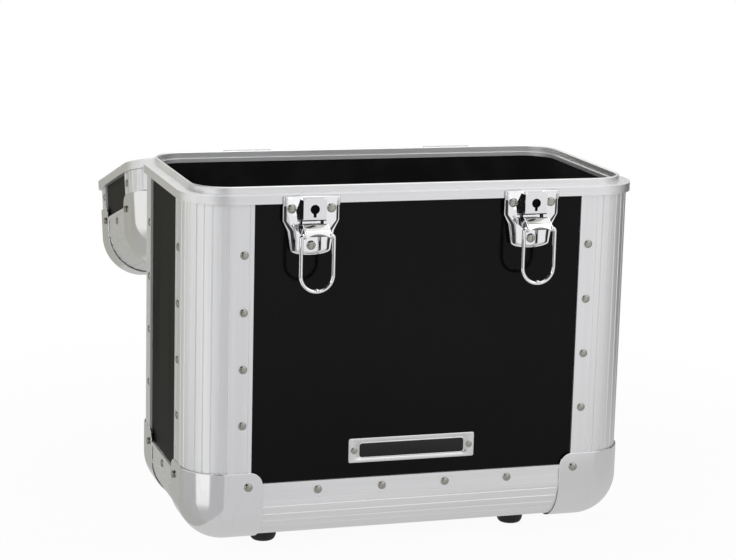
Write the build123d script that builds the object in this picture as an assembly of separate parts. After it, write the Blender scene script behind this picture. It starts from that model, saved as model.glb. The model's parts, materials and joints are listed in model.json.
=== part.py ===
from build123d import *
import math
import os

# Record carrying case: a laminated plywood box and lid framed in ribbed aluminium extrusions,
# with pressed ball corners, two draw latches at the front, two offset hinges at the rear
# and a fold-flat handle on the lid.
#
# Millimetres. +X is to the right of a person facing the latches, +Y to the rear, +Z up.
# Every piece is first made with the body's centre at X = Y = 0 and the feet on Z = 0, and with
# the lid shut. The lid is then swung open to its stop, the levers are swung out, and the whole
# case is moved along Y until its bounding box is centred on the origin.
#
# In sections, "depth" is measured inwards from the outer face of the ribbed extrusions,
# so a negative depth stands proud of it.

# ---------------------------------------------------------------- outer sizes
CASE_WIDTH = 380.0
CASE_DEPTH = 200.9
BODY_HEIGHT = 288.1          # underside of the base extrusions to the parting plane
LID_HEIGHT = 89.0            # parting plane to the top of the lid
FOOT_PROTRUSION = 16.5       # how far the feet hold the underside off the floor

# ---------------------------------------------------------------- sheet and extrusion sizes
PLY_THICKNESS = 7.0
CORNER_RADIUS = 36.0
SKIN_THICKNESS = 2.2
WING_REACH = 51.8            # outer face of the case to the free edge of an extrusion's wing
WING_BACK = 1.6              # depth of a wing's back, where it lies on the plywood
WING_STEP = 0.3              # how far the flat band of the wing sits below the ribs
BAND_START = 1.1             # ribbed land left beside the flat band
LIP_WIDTH = 3.2
LIP_RISE = 0.4
WEB_THICKNESS = 1.5
GROOVE_COUNT = 8
GROOVE_PITCH_DEG = 11.05
GROOVE_WIDTH = 1.3
GROOVE_DEPTH = 0.55
SEAT_GAP = 0.1               # play between pieces that are pushed together

# ---------------------------------------------------------------- rims
FLANGE_RISE = 3.0            # how far both rims stand proud of the extrusions
FLANGE_WALL = 2.5
FLANGE_DROP = 7.1
RIM_WEB = 1.8
TONGUE_DEPTH = 6.4
TONGUE_THICKNESS = 2.4
TONGUE_HEIGHT = 5.6
TONGUE_CHAMFER = 0.6
INNER_LIP_WALL = 1.5
INNER_LIP_DROP = 3.2
LID_BAND_HEIGHT = 7.4
LID_WEB = 1.5
LID_SKIRT_WALL = 2.2
LID_INNER_LIP = 3.3
TONGUE_CLEARANCE = 1.3
PARTING_GAP = 0.3            # space left between the two rims when the lid is shut

# ---------------------------------------------------------------- ball corners
BALL_SHEET = 1.0
BALL_REACH = 61.5
BALL_LOBE_RADIUS = 11.0

# ---------------------------------------------------------------- rivets
RIVET_RADIUS = 3.1
RIVET_RISE = 1.7
RIVET_CROWN_RADIUS = 1.7
RIVET_SIDES = 12
RIVET_LINE = 44.0            # outer face of the case to a line of rivets
COLUMN_RIVET_COUNT = 4
COLUMN_RIVET_PITCH = 46.4
COLUMN_LOWEST_RIVET = 100.8  # above the underside of the base extrusions
EDGE_RIVET_COUNT = 4
EDGE_RIVET_PITCH = 54.6
BALL_RIVET = 49.5
LID_COLUMN_RIVET = 17.2      # above the parting plane

# ---------------------------------------------------------------- lining
LINING_THICKNESS = 1.5

# ---------------------------------------------------------------- feet
FOOT_INSET_X = 79.3          # outer face of the case to the middle of a foot
FOOT_INSET_Y = 64.95
FOOT_TOP_RADIUS = 12.7
FOOT_BOTTOM_RADIUS = 10.9
FOOT_CHAMFER = 1.4
FOOT_RECESS_RADIUS = 4.6
FOOT_RECESS_DEPTH = 6.0
FOOT_SCREW_RADIUS = 4.2
FOOT_SCREW_HEAD = 2.4

# ---------------------------------------------------------------- nameplate
PLATE_LENGTH = 108.2
PLATE_HEIGHT = 20.5
PLATE_THICKNESS = 1.0
PLATE_ROUNDING = 1.6
PLATE_X = -2.3
PLATE_ABOVE_UNDERSIDE = 74.5
PLATE_RIVET_SPACING = 99.0
PLATE_RIVET_SCALE = 0.85

# ---------------------------------------------------------------- lid hinges
HINGE_INSET = 98.0           # end face of the case to the middle of a hinge
HINGE_PIN_OFFSET = 9.3       # pin axis behind the rear face
HINGE_PIN_RADIUS = 2.0
HINGE_BORE_CLEARANCE = 0.05
HINGE_KNUCKLE_RADIUS = 3.7
HINGE_LENGTH = 42.0
HINGE_MIDDLE_KNUCKLE = 15.0
HINGE_KNUCKLE_GAP = 0.4
HINGE_SHEET = 1.5
HINGE_LEAF_HEIGHT = 21.0
HINGE_RIM_CLEARANCE = 0.2
HINGE_RIVET_SPACING = 28.0
LID_STOP_GAP = 0.3           # ball corner to the rear wall when the lid hangs open

# ---------------------------------------------------------------- draw latches
LATCH_INSET = 97.0           # end face of the case to the middle of a latch
LATCH_SHEET = 1.2
LATCH_FACE = 4.3             # front of the latch plate, proud of the extrusions' outer face
LATCH_TOP_DROP = 1.4         # parting plane down to the latch plate's top edge
LATCH_TOP_HALF_WIDTH = 23.4
LATCH_SHOULDER_DROP = 20.9
LATCH_WAIST_DROP = 29.1
LATCH_WAIST_HALF_WIDTH = 19.4
LATCH_FOOT_DROP = 44.4
LATCH_FOOT_HALF_WIDTH = 16.8
LATCH_CHIN_DROP = 48.7
LATCH_EDGE_ROUNDING = 0.9
LATCH_RIVET_X = 16.3
LATCH_RIVET_DROP = 10.9
LATCH_LOW_RIVET_DROP = 40.6
LATCH_RIVET_RISE = 1.4
LOCK_HALF_WIDTH = 9.4
LOCK_TOP_DROP = 1.6
LOCK_BOTTOM_DROP = 19.3
LOCK_FACE = 14.3
LOCK_CORNER = 1.6            # chamfer of the two top corners, which the wire loop passes
KEYHOLE_DROP = 10.2
KEYHOLE_RADIUS = 3.8
KEYHOLE_SLOT_WIDTH = 2.4
KEYHOLE_SLOT_DROP = 16.6
LEVER_PIVOT_OUT = 9.4
LEVER_PIVOT_DROP = 26.9
LEVER_PIN_RADIUS = 1.25
LEVER_BORE_CLEARANCE = 0.05
LEVER_EAR_RADIUS = 3.4
LEVER_INNER_RADIUS = 3.9
LEVER_SHEET = 1.0
LEVER_SIDE_CLEARANCE = 0.25
LEVER_LENGTH = 24.5
LEVER_LIP_RISE = 4.6
LEVER_LIP_RADIUS = 2.2
LEVER_KNUCKLE_DEG = 58.0
LEVER_TURN_DEG = 86.0
LEVER_BACK_DEG = 24.0        # how much further than that the lever turns
LOOP_PIVOT_IN = 1.6          # loop pivot behind the lever pivot when the lever is shut
LOOP_PIVOT_DOWN = 14.0
LOOP_WIRE_RADIUS = 1.5
LOOP_HALF_WIDTH = 13.45
LOOP_REACH = 44.9            # loop pivot to the centre of the hooked end of the wire
LOOP_END_BEND = 1.9
LOOP_SIDES = 12
LOOP_NUB_RADIUS = 1.9
LOOP_NUB_INSET = 0.9
BUSH_WALL = 0.75
BUSH_CLEARANCE = 0.05
BUSH_STAND_OUT = 0.7

# ---------------------------------------------------------------- catches on the lid
CATCH_HALF_WIDTH = 15.0
CATCH_HEIGHT = 26.0
CATCH_HOOK_HALF_WIDTH = 6.0
CATCH_SLOT_HALF_WIDTH = 2.3
CATCH_CLEARANCE = 0.4
CATCH_LIP_HEIGHT = 4.4
CATCH_RIVET_X = 9.0
CATCH_RIVET_DROP = 7.3
CATCH_ROUNDING = 3.0

# ---------------------------------------------------------------- handle
HANDLE_SPAN = 124.0          # between the two pivots
HANDLE_PIVOT_HEIGHT = 9.6    # above the lid's plywood
HANDLE_REACH = 35.0          # pivot to the middle of the grip
HANDLE_THICKNESS = 14.0
HANDLE_GRIP_DEPTH = 13.0
HANDLE_ARM_WIDTH = 15.0
HANDLE_ARM_ROUNDING = 15.0
HANDLE_EDGE_CHAMFER = 3.2
HANDLE_GROOVE_COUNT = 7
HANDLE_GROOVE_PITCH = 11.0
HANDLE_GROOVE_RADIUS = 2.0
HANDLE_GROOVE_DEPTH = 1.0
HANDLE_PIN_RADIUS = 2.5
HANDLE_PIN_CLEARANCE = 0.05
BRACKET_SHEET = 2.0
BRACKET_EAR_RADIUS = 6.0
BRACKET_FOOT_WIDTH = 22.0
BRACKET_FOOT_LENGTH = 17.0
BRACKET_SIDE_GAP = 0.4
BRACKET_RIVET_INSET = 9.0
BRACKET_RIVET_EDGE = 5.7

# ---------------------------------------------------------------- worked-out sizes
HALF_WIDTH = CASE_WIDTH / 2
HALF_DEPTH = CASE_DEPTH / 2
UNDERSIDE_Z = FOOT_PROTRUSION
PARTING_Z = UNDERSIDE_Z + BODY_HEIGHT
LID_TOP_Z = PARTING_Z + LID_HEIGHT
PLY_BACK = WING_BACK + PLY_THICKNESS
BODY_WALL_TOP = BODY_HEIGHT - RIM_WEB - SEAT_GAP
LID_WALL_TOP = LID_HEIGHT - PARTING_GAP - LID_BAND_HEIGHT - SEAT_GAP
BALL_INNER = -(LIP_RISE + SEAT_GAP)
BALL_OUTER = BALL_INNER - BALL_SHEET
PIN_Y = HALF_DEPTH + HINGE_PIN_OFFSET
PIN_Z = PARTING_Z + PARTING_GAP / 2
LEVER_PIVOT_Y = -HALF_DEPTH - LEVER_PIVOT_OUT
LEVER_PIVOT_Z = PARTING_Z - LEVER_PIVOT_DROP
LATCH_X = HALF_WIDTH - LATCH_INSET
HINGE_X = HALF_WIDTH - HINGE_INSET
FOOT_X = HALF_WIDTH - FOOT_INSET_X
FOOT_Y = HALF_DEPTH - FOOT_INSET_Y
HANDLE_PIVOT_Z = LID_TOP_Z - WING_BACK + HANDLE_PIVOT_HEIGHT


def lid_open_angle():
    """Degrees the lid swings before its rear ball corners rest on the body's rear extrusions."""
    arm = HINGE_PIN_OFFSET + CORNER_RADIUS
    rise = LID_TOP_Z - CORNER_RADIUS - PIN_Z
    reach = CORNER_RADIUS - BALL_OUTER - HINGE_PIN_OFFSET + LIP_RISE + LID_STOP_GAP
    span = math.hypot(arm, rise)
    past_level = math.acos(reach / span) - math.atan2(rise, arm)
    return 180.0 + math.degrees(past_level)


def loop_pivot_open():
    """Y and Z of the wire loop's pivot with the lever swung out."""
    turn = math.radians(LEVER_TURN_DEG)
    out = LOOP_PIVOT_DOWN * math.sin(turn) - LOOP_PIVOT_IN * math.cos(turn)
    up = -LOOP_PIVOT_DOWN * math.cos(turn) - LOOP_PIVOT_IN * math.sin(turn)
    return LEVER_PIVOT_Y - out, LEVER_PIVOT_Z + up


LID_OPEN_DEG = lid_open_angle()
LOOP_PIVOT_Y, LOOP_PIVOT_Z = loop_pivot_open()


# ================================================================ shared helpers
def front_plane(x, y, z):
    """Sketch plane seen from the front: sketch X is +X, sketch Y is +Z, extrusion is to the front."""
    return Plane(origin=(x, y, z), x_dir=(1, 0, 0), z_dir=(0, -1, 0))


def side_plane(x, y, z):
    """Sketch plane across the case: sketch X is to the front, sketch Y is +Z, extrusion is to -X."""
    return Plane(origin=(x, y, z), x_dir=(0, -1, 0), z_dir=(-1, 0, 0))


def centred_slab(sketch, plane, thickness):
    """Extrude a sketch half of the thickness to each side of its plane."""
    return extrude(plane * sketch, amount=thickness / 2, both=True)


def rect_between(low_x, high_x, low_y, high_y):
    """Rectangle given by its limits."""
    centre = Pos((low_x + high_x) / 2, (low_y + high_y) / 2)
    return centre * Rectangle(high_x - low_x, high_y - low_y)


def box_between(low, high):
    """Solid box given by its two opposite corners."""
    sizes = [b - a for a, b in zip(low, high)]
    centre = [(a + b) / 2 for a, b in zip(low, high)]
    return Pos(*centre) * Box(*sizes)


def plan_outline(depth):
    """Rounded outline of the case in plan, moved inwards by a depth."""
    return RectangleRounded(CASE_WIDTH - 2 * depth, CASE_DEPTH - 2 * depth, CORNER_RADIUS - depth)


def plan_ring(outer_depth, inner_depth, low_z, high_z):
    """Band that follows the case's plan between two depths and two heights."""
    band = plan_outline(outer_depth) - plan_outline(inner_depth)
    return extrude(Pos(0, 0, low_z) * band, amount=high_z - low_z)


def rounded_tub(depth, height):
    """Block with the case's plan at a depth, rounded along its bottom edges and its four corners."""
    radius = CORNER_RADIUS - depth
    block = box_between(
        (depth - HALF_WIDTH, depth - HALF_DEPTH, depth),
        (HALF_WIDTH - depth, HALF_DEPTH - depth, height),
    )
    uprights = block.edges().filter_by(Axis.Z)
    bottom = block.edges().group_by(Axis.Z)[0]
    return fillet(uprights + bottom, radius)


def rivet(rise=RIVET_RISE, scale=1.0):
    """Rivet head on the XY plane, pointing up, drawn with few sides because there are so many."""
    seat = RegularPolygon(RIVET_RADIUS * scale, RIVET_SIDES)
    crown = RegularPolygon(RIVET_CROWN_RADIUS * scale, RIVET_SIDES)
    return loft([seat, Pos(0, 0, rise) * crown])


def on_face(face, u, v, proud, item):
    """Stand an item on a face of the case: u runs along the face, v is a height or, on top, Y."""
    if face == "front":
        return Pos(u, -HALF_DEPTH - proud, v) * Rot(90, 0, 0) * item
    if face == "rear":
        return Pos(u, HALF_DEPTH + proud, v) * Rot(-90, 0, 0) * item
    if face == "left":
        return Pos(-HALF_WIDTH - proud, u, v) * Rot(0, -90, 0) * item
    if face == "right":
        return Pos(HALF_WIDTH + proud, u, v) * Rot(0, 90, 0) * item
    return Pos(u, v, proud) * Rot(180, 0, 0) * item


# ================================================================ extrusions and panels
def extrusion_section():
    """Section of the corner and edge extrusion, its outer corner at the sketch origin.

    A ribbed quarter-round skin, a second inner wall, two webs that close the hollow between
    them, and two wings that overlap the plywood and end in a raised lip.
    """
    centre = Pos(CORNER_RADIUS, CORNER_RADIUS)
    quadrant = rect_between(0, CORNER_RADIUS, 0, CORNER_RADIUS)
    inner_radius = CORNER_RADIUS - PLY_BACK
    skin = centre * (Circle(CORNER_RADIUS) - Circle(CORNER_RADIUS - SKIN_THICKNESS))
    liner_wall = centre * (Circle(inner_radius + WEB_THICKNESS) - Circle(inner_radius))
    section = (skin + liner_wall) & quadrant
    band_start = CORNER_RADIUS + BAND_START
    lip_start = WING_REACH - LIP_WIDTH
    web = rect_between(0, PLY_BACK, CORNER_RADIUS - WEB_THICKNESS, CORNER_RADIUS)
    land = rect_between(0, WING_BACK, CORNER_RADIUS - WEB_THICKNESS, band_start)
    band = rect_between(WING_STEP, WING_BACK, band_start, lip_start)
    lip = rect_between(-LIP_RISE, WING_BACK, lip_start, WING_REACH)
    wing = web + land + band + lip
    section += wing + mirror(wing, about=Plane.XZ.rotated((0, 0, 45)))
    for index in range(GROOVE_COUNT):
        angle = 225 + (index - (GROOVE_COUNT - 1) / 2) * GROOVE_PITCH_DEG
        groove = Polygon((0, -GROOVE_WIDTH / 2), (0, GROOVE_WIDTH / 2), (-GROOVE_DEPTH, 0), align=None)
        section -= centre * Rot(0, 0, angle) * Pos(CORNER_RADIUS, 0) * groove
    return section


def corner_places():
    """Where a piece modelled with its outer corner at the origin sits at each corner of a shell."""
    return {
        "front_left": Pos(-HALF_WIDTH, -HALF_DEPTH, 0),
        "front_right": Pos(HALF_WIDTH, -HALF_DEPTH, 0) * Rot(0, 0, 90),
        "rear_right": Pos(HALF_WIDTH, HALF_DEPTH, 0) * Rot(0, 0, 180),
        "rear_left": Pos(-HALF_WIDTH, HALF_DEPTH, 0) * Rot(0, 0, 270),
    }


def corner_extrusions(section, wall_top):
    """Four upright extrusions of a shell that stands on its closed end at Z = 0."""
    post = extrude(Pos(0, 0, WING_REACH) * section, amount=wall_top - WING_REACH)
    return {name: place * post for name, place in corner_places().items()}


def edge_extrusions(section):
    """Four level extrusions round the closed end; the end ones butt against the long ones."""
    half_x = HALF_WIDTH - CORNER_RADIUS
    half_y = HALF_DEPTH - WING_REACH
    planes = {
        "front": (Plane(origin=(-half_x, -HALF_DEPTH, 0), x_dir=(0, 1, 0), z_dir=(1, 0, 0)), half_x),
        "rear": (Plane(origin=(half_x, HALF_DEPTH, 0), x_dir=(0, -1, 0), z_dir=(-1, 0, 0)), half_x),
        "left": (Plane(origin=(-HALF_WIDTH, half_y, 0), x_dir=(1, 0, 0), z_dir=(0, -1, 0)), half_y),
        "right": (Plane(origin=(HALF_WIDTH, -half_y, 0), x_dir=(-1, 0, 0), z_dir=(0, 1, 0)), half_y),
    }
    return {name: extrude(plane * section, amount=2 * half) for name, (plane, half) in planes.items()}


def shell_panels(wall_top):
    """Four walls and the closed end of a shell, in plywood, with their edges against the webs."""
    reach_x = HALF_WIDTH - CORNER_RADIUS - SEAT_GAP
    reach_y = HALF_DEPTH - CORNER_RADIUS - SEAT_GAP
    low = CORNER_RADIUS + SEAT_GAP
    outer_x = HALF_WIDTH - WING_BACK
    inner_x = HALF_WIDTH - PLY_BACK
    outer_y = HALF_DEPTH - WING_BACK
    inner_y = HALF_DEPTH - PLY_BACK
    return {
        "front": box_between((-reach_x, -outer_y, low), (reach_x, -inner_y, wall_top)),
        "rear": box_between((-reach_x, inner_y, low), (reach_x, outer_y, wall_top)),
        "left": box_between((-outer_x, -reach_y, low), (-inner_x, reach_y, wall_top)),
        "right": box_between((inner_x, -reach_y, low), (outer_x, reach_y, wall_top)),
        "end": box_between((-reach_x, -reach_y, WING_BACK), (reach_x, reach_y, PLY_BACK)),
    }


def ball_corners():
    """Four pressed corners round the closed end: rounded shells with three lobes each."""
    blank = rounded_tub(BALL_OUTER, 2 * BALL_REACH) - rounded_tub(BALL_INNER, 3 * BALL_REACH)
    corner = Pos(HALF_WIDTH, HALF_DEPTH, 0) * blank & box_between(
        (BALL_OUTER - 1, BALL_OUTER - 1, BALL_OUTER - 1), (BALL_REACH, BALL_REACH, BALL_REACH)
    )
    turn_centre = BALL_REACH - BALL_LOBE_RADIUS
    waste = rect_between(turn_centre, BALL_REACH + 1, turn_centre, BALL_REACH + 1)
    waste -= Pos(turn_centre, turn_centre) * Circle(BALL_LOBE_RADIUS)
    for plane in (Plane.XY, Plane.XZ, Plane.YZ):
        corner -= extrude(plane * waste, amount=BALL_REACH, both=True)
    return [place * corner for place in corner_places().values()]


def lining(wall_top, lip):
    """Moulded liner: a thin rounded tub against the plywood, open at the rim."""
    outer = PLY_BACK + SEAT_GAP
    top = wall_top - lip
    return rounded_tub(outer, top) - rounded_tub(outer + LINING_THICKNESS, top + 1)


# ================================================================ rims
def body_rim():
    """Rim of the body: a flange outside, a ledge, and the tongue that the lid drops over."""
    lip_start = TONGUE_DEPTH + TONGUE_THICKNESS
    lip_end = lip_start + INNER_LIP_WALL
    flange = plan_ring(-FLANGE_RISE, FLANGE_WALL - FLANGE_RISE, PARTING_Z - FLANGE_DROP, PARTING_Z)
    ledge = plan_ring(-FLANGE_RISE, lip_end, PARTING_Z - RIM_WEB, PARTING_Z)
    tongue = plan_ring(TONGUE_DEPTH, lip_start, PARTING_Z - RIM_WEB, PARTING_Z + TONGUE_HEIGHT)
    tongue = chamfer(tongue.edges().group_by(Axis.Z)[-1], TONGUE_CHAMFER)
    inner_lip = plan_ring(lip_start, lip_end, PARTING_Z - INNER_LIP_DROP, PARTING_Z)
    return flange + ledge + tongue + inner_lip


def lid_rim():
    """Rim of the lid: a band outside, a skirt that runs outside the tongue, and a web above it."""
    base = PARTING_Z + PARTING_GAP
    top = base + LID_BAND_HEIGHT
    lip_start = TONGUE_DEPTH + TONGUE_THICKNESS
    lip_end = lip_start + INNER_LIP_WALL
    skirt_inner = TONGUE_DEPTH - TONGUE_CLEARANCE
    band = plan_ring(-FLANGE_RISE, LID_SKIRT_WALL - FLANGE_RISE, base, top)
    skirt = plan_ring(skirt_inner - LID_SKIRT_WALL, skirt_inner, base, top)
    web = plan_ring(-FLANGE_RISE, lip_end, top - LID_WEB, top)
    inner_lip = plan_ring(lip_start, lip_end, top - LID_WEB, top + LID_INNER_LIP)
    return band + skirt + web + inner_lip


# ================================================================ rivets
def shell_rivets(column_heights, level):
    """Rivets that hold the extrusions and ball corners of a shell; level maps a local Z."""
    head = rivet()
    on_wing = -WING_STEP
    on_ball = -BALL_OUTER
    rivet_x = HALF_WIDTH - RIVET_LINE
    rivet_y = HALF_DEPTH - RIVET_LINE
    ball_x = HALF_WIDTH - BALL_RIVET
    ball_y = HALF_DEPTH - BALL_RIVET
    row = [(index - (EDGE_RIVET_COUNT - 1) / 2) * EDGE_RIVET_PITCH for index in range(EDGE_RIVET_COUNT)]
    heads = []
    for face in ("front", "rear"):
        heads += [on_face(face, side * rivet_x, z, on_wing, head) for side in (-1, 1) for z in column_heights]
        heads += [on_face(face, x, level(RIVET_LINE), on_wing, head) for x in row]
        heads += [on_face(face, side * ball_x, level(BALL_RIVET), on_ball, head) for side in (-1, 1)]
    for face in ("left", "right"):
        heads += [on_face(face, side * rivet_y, z, on_wing, head) for side in (-1, 1) for z in column_heights]
        heads.append(on_face(face, 0, level(RIVET_LINE), on_wing, head))
        heads += [on_face(face, side * ball_y, level(BALL_RIVET), on_ball, head) for side in (-1, 1)]
    return heads


# ================================================================ small body pieces
def feet():
    """Four tapered rubber feet against the base plywood, each hollowed for its screw."""
    top = UNDERSIDE_Z + WING_BACK
    cone = Pos(0, 0, top / 2) * Cone(FOOT_BOTTOM_RADIUS, FOOT_TOP_RADIUS, top)
    cone = chamfer(cone.edges().group_by(Axis.Z)[0], FOOT_CHAMFER)
    cone -= Pos(0, 0, FOOT_RECESS_DEPTH / 2) * Cylinder(FOOT_RECESS_RADIUS, FOOT_RECESS_DEPTH)
    return [Pos(x, y, 0) * cone for x in (-FOOT_X, FOOT_X) for y in (-FOOT_Y, FOOT_Y)]


def foot_screws():
    """Pan-head screws at the bottom of the feet's recesses."""
    middle = FOOT_RECESS_DEPTH - FOOT_SCREW_HEAD / 2
    head = Pos(0, 0, middle) * Cylinder(FOOT_SCREW_RADIUS, FOOT_SCREW_HEAD)
    head = chamfer(head.edges().group_by(Axis.Z)[0], FOOT_SCREW_HEAD / 2)
    return [Pos(x, y, 0) * head for x in (-FOOT_X, FOOT_X) for y in (-FOOT_Y, FOOT_Y)]


def nameplate():
    """Plain rounded plate low on the front panel."""
    outline = RectangleRounded(PLATE_LENGTH, PLATE_HEIGHT, PLATE_ROUNDING)
    plane = front_plane(PLATE_X, WING_BACK - HALF_DEPTH, UNDERSIDE_Z + PLATE_ABOVE_UNDERSIDE)
    return extrude(plane * outline, amount=PLATE_THICKNESS)


def nameplate_rivets():
    """One small rivet near each end of the nameplate."""
    head = rivet(RIVET_RISE * PLATE_RIVET_SCALE, PLATE_RIVET_SCALE)
    proud = PLATE_THICKNESS - WING_BACK
    level = UNDERSIDE_Z + PLATE_ABOVE_UNDERSIDE
    half = PLATE_RIVET_SPACING / 2
    return [on_face("front", PLATE_X + side * half, level, proud, head) for side in (-1, 1)]


# ================================================================ hinges
def hinge_leaf(up):
    """Cranked hinge leaf and its knuckles' section; up is 1 for the lid's leaf, -1 for the body's.

    The flat lies on the plywood, steps out over the rim and turns outwards into the knuckle.
    """
    rim_face = FLANGE_RISE + HINGE_RIM_CLEARANCE
    rim_reach = (FLANGE_DROP if up < 0 else LID_BAND_HEIGHT + PARTING_GAP) + HINGE_RIM_CLEARANCE
    crank_top = rim_reach + HINGE_SHEET
    ring_bore = HINGE_PIN_RADIUS + HINGE_BORE_CLEARANCE
    shelf_low = ring_bore + HINGE_KNUCKLE_GAP / 2
    flat = rect_between(-WING_BACK, HINGE_SHEET - WING_BACK, rim_reach, rim_reach + HINGE_LEAF_HEIGHT)
    crank = rect_between(-WING_BACK, rim_face + HINGE_SHEET, rim_reach, crank_top)
    riser = rect_between(rim_face, rim_face + HINGE_SHEET, shelf_low, crank_top)
    leaf = flat + crank + riser
    shelf = rect_between(rim_face, HINGE_PIN_OFFSET, shelf_low, HINGE_KNUCKLE_RADIUS)
    ring = Pos(HINGE_PIN_OFFSET, 0) * Circle(HINGE_KNUCKLE_RADIUS)
    bore = Pos(HINGE_PIN_OFFSET, 0) * Circle(ring_bore)
    return leaf, (shelf + ring) - bore


def hinge_half(up):
    """One half of a hinge at X = 0: the leaf, with the middle knuckle on the lid's half."""
    leaf, knuckle = hinge_leaf(up)
    plane = Plane(origin=(0, HALF_DEPTH, PIN_Z), x_dir=(0, 1, 0), z_dir=(1 if up > 0 else -1, 0, 0))
    half = centred_slab(leaf, plane, HINGE_LENGTH)
    middle = centred_slab(knuckle, plane, HINGE_MIDDLE_KNUCKLE)
    if up > 0:
        return half + middle
    gap = HINGE_MIDDLE_KNUCKLE + 2 * HINGE_KNUCKLE_GAP
    outer = centred_slab(knuckle, plane, HINGE_LENGTH) - centred_slab(knuckle, plane, gap)
    return half + outer


def hinge_halves(up):
    """Both hinges' halves on one side of the parting plane."""
    half = hinge_half(up)
    return [Pos(side * HINGE_X, 0, 0) * half for side in (-1, 1)]


def hinge_pins():
    """Steel pins through the knuckles."""
    pin = Rot(0, 90, 0) * Cylinder(HINGE_PIN_RADIUS, HINGE_LENGTH)
    return [Pos(side * HINGE_X, PIN_Y, PIN_Z) * pin for side in (-1, 1)]


def hinge_rivets(up):
    """Two rivets in the flat of each leaf."""
    rim_reach = (FLANGE_DROP if up < 0 else LID_BAND_HEIGHT + PARTING_GAP) + HINGE_RIM_CLEARANCE
    level = PIN_Z + up * (rim_reach + HINGE_LEAF_HEIGHT / 2 + HINGE_SHEET / 2)
    half = HINGE_RIVET_SPACING / 2
    places = [side * HINGE_X + end * half for side in (-1, 1) for end in (-1, 1)]
    return [on_face("rear", x, level, HINGE_SHEET - WING_BACK, rivet()) for x in places]


# ================================================================ draw latches
def latch_outline():
    """Front view of the latch plate, measured from the parting plane: broad top, narrow chin."""
    right = [
        (LATCH_TOP_HALF_WIDTH, -LATCH_TOP_DROP),
        (LATCH_TOP_HALF_WIDTH, -LATCH_SHOULDER_DROP),
        (LATCH_WAIST_HALF_WIDTH, -LATCH_WAIST_DROP),
        (LATCH_FOOT_HALF_WIDTH, -LATCH_FOOT_DROP),
    ]
    left = [(-x, z) for x, z in right]
    sides = Polyline(*reversed(left), *right)
    chin = ThreePointArc(left[-1], (0, -LATCH_CHIN_DROP), right[-1])
    return make_face(sides + chin)


def latch_plate():
    """Pressed tray on the front panel, open at the back and notched over the rim's flange."""
    outline = latch_outline()
    plane = front_plane(0, -HALF_DEPTH + WING_BACK, PARTING_Z)
    height = LATCH_FACE + WING_BACK
    tray = extrude(plane * outline, amount=height)
    tray = fillet(tray.edges().group_by(Axis.Y)[0], LATCH_EDGE_ROUNDING)
    hollow = offset(outline, amount=-LATCH_SHEET, kind=Kind.INTERSECTION)
    tray -= extrude(plane * hollow, amount=height - LATCH_SHEET)
    notch_low = PARTING_Z - FLANGE_DROP - 2 * SEAT_GAP
    notch = box_between(
        (-CASE_WIDTH, -HALF_DEPTH - LATCH_FACE + LATCH_SHEET, notch_low),
        (CASE_WIDTH, 0, PARTING_Z),
    )
    return tray - notch


def lock_housing():
    """Lock box on the plate: keyhole in its face, open below, with two ears for the lever's pin.

    The neck of an ear stays behind the lever's face when the lever is turned right back.
    """
    base = LATCH_FACE
    inner_half = LOCK_HALF_WIDTH - LATCH_SHEET
    height = LOCK_FACE - base
    plane = front_plane(0, -HALF_DEPTH - base, PARTING_Z)
    block = rect_between(-LOCK_HALF_WIDTH, LOCK_HALF_WIDTH, -LOCK_BOTTOM_DROP, -LOCK_TOP_DROP)
    block = chamfer(block.vertices().group_by(Axis.Y)[-1], LOCK_CORNER)
    cavity = rect_between(-inner_half, inner_half, -LOCK_BOTTOM_DROP, -LOCK_TOP_DROP - LATCH_SHEET)
    cavity = chamfer(cavity.vertices().group_by(Axis.Y)[-1], LOCK_CORNER)
    housing = extrude(plane * block, amount=height) - extrude(plane * cavity, amount=height - LATCH_SHEET)
    keyhole = Pos(0, -KEYHOLE_DROP) * Circle(KEYHOLE_RADIUS)
    half_slot = KEYHOLE_SLOT_WIDTH / 2
    keyhole += rect_between(-half_slot, half_slot, -KEYHOLE_SLOT_DROP, -KEYHOLE_DROP)
    housing -= extrude(plane * keyhole, amount=height)
    right_back = math.radians(LEVER_TURN_DEG + LEVER_BACK_DEG)
    lever_edge = LEVER_PIVOT_OUT + (LEVER_INNER_RADIUS + LEVER_SHEET) * math.cos(right_back)
    neck_out = lever_edge - LEVER_SHEET
    neck = rect_between(base, neck_out, -LEVER_PIVOT_DROP - LEVER_EAR_RADIUS, -LOCK_BOTTOM_DROP)
    arm_top = -LEVER_PIVOT_DROP + LEVER_EAR_RADIUS
    arm = rect_between(base, LEVER_PIVOT_OUT, -LEVER_PIVOT_DROP - LEVER_EAR_RADIUS, arm_top)
    pivot = Pos(LEVER_PIVOT_OUT, -LEVER_PIVOT_DROP)
    ear = (neck + arm + pivot * Circle(LEVER_EAR_RADIUS)) - pivot * Circle(LEVER_PIN_RADIUS + SEAT_GAP / 2)
    for centre in (-1, 1):
        middle = centre * (LOCK_HALF_WIDTH - LATCH_SHEET / 2)
        housing += centred_slab(ear, side_plane(middle, -HALF_DEPTH, PARTING_Z), LATCH_SHEET)
    return housing


def lever_side_width():
    """Half of the lever's outside width."""
    return LOCK_HALF_WIDTH + LEVER_SIDE_CLEARANCE + LEVER_SHEET


def lever_pin():
    """Headless pin through the lever's cheeks and the housing's ears."""
    length = 2 * lever_side_width() + LEVER_SIDE_CLEARANCE
    return Pos(0, LEVER_PIVOT_Y, LEVER_PIVOT_Z) * Rot(0, 90, 0) * Cylinder(LEVER_PIN_RADIUS, length)


def latch_rivets():
    """Three rivets in each latch plate."""
    head = rivet(LATCH_RIVET_RISE)
    spots = [(-LATCH_RIVET_X, LATCH_RIVET_DROP), (LATCH_RIVET_X, LATCH_RIVET_DROP), (0, LATCH_LOW_RIVET_DROP)]
    return [
        on_face("front", side * LATCH_X + x, PARTING_Z - drop, LATCH_FACE, head)
        for side in (-1, 1)
        for x, drop in spots
    ]


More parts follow.
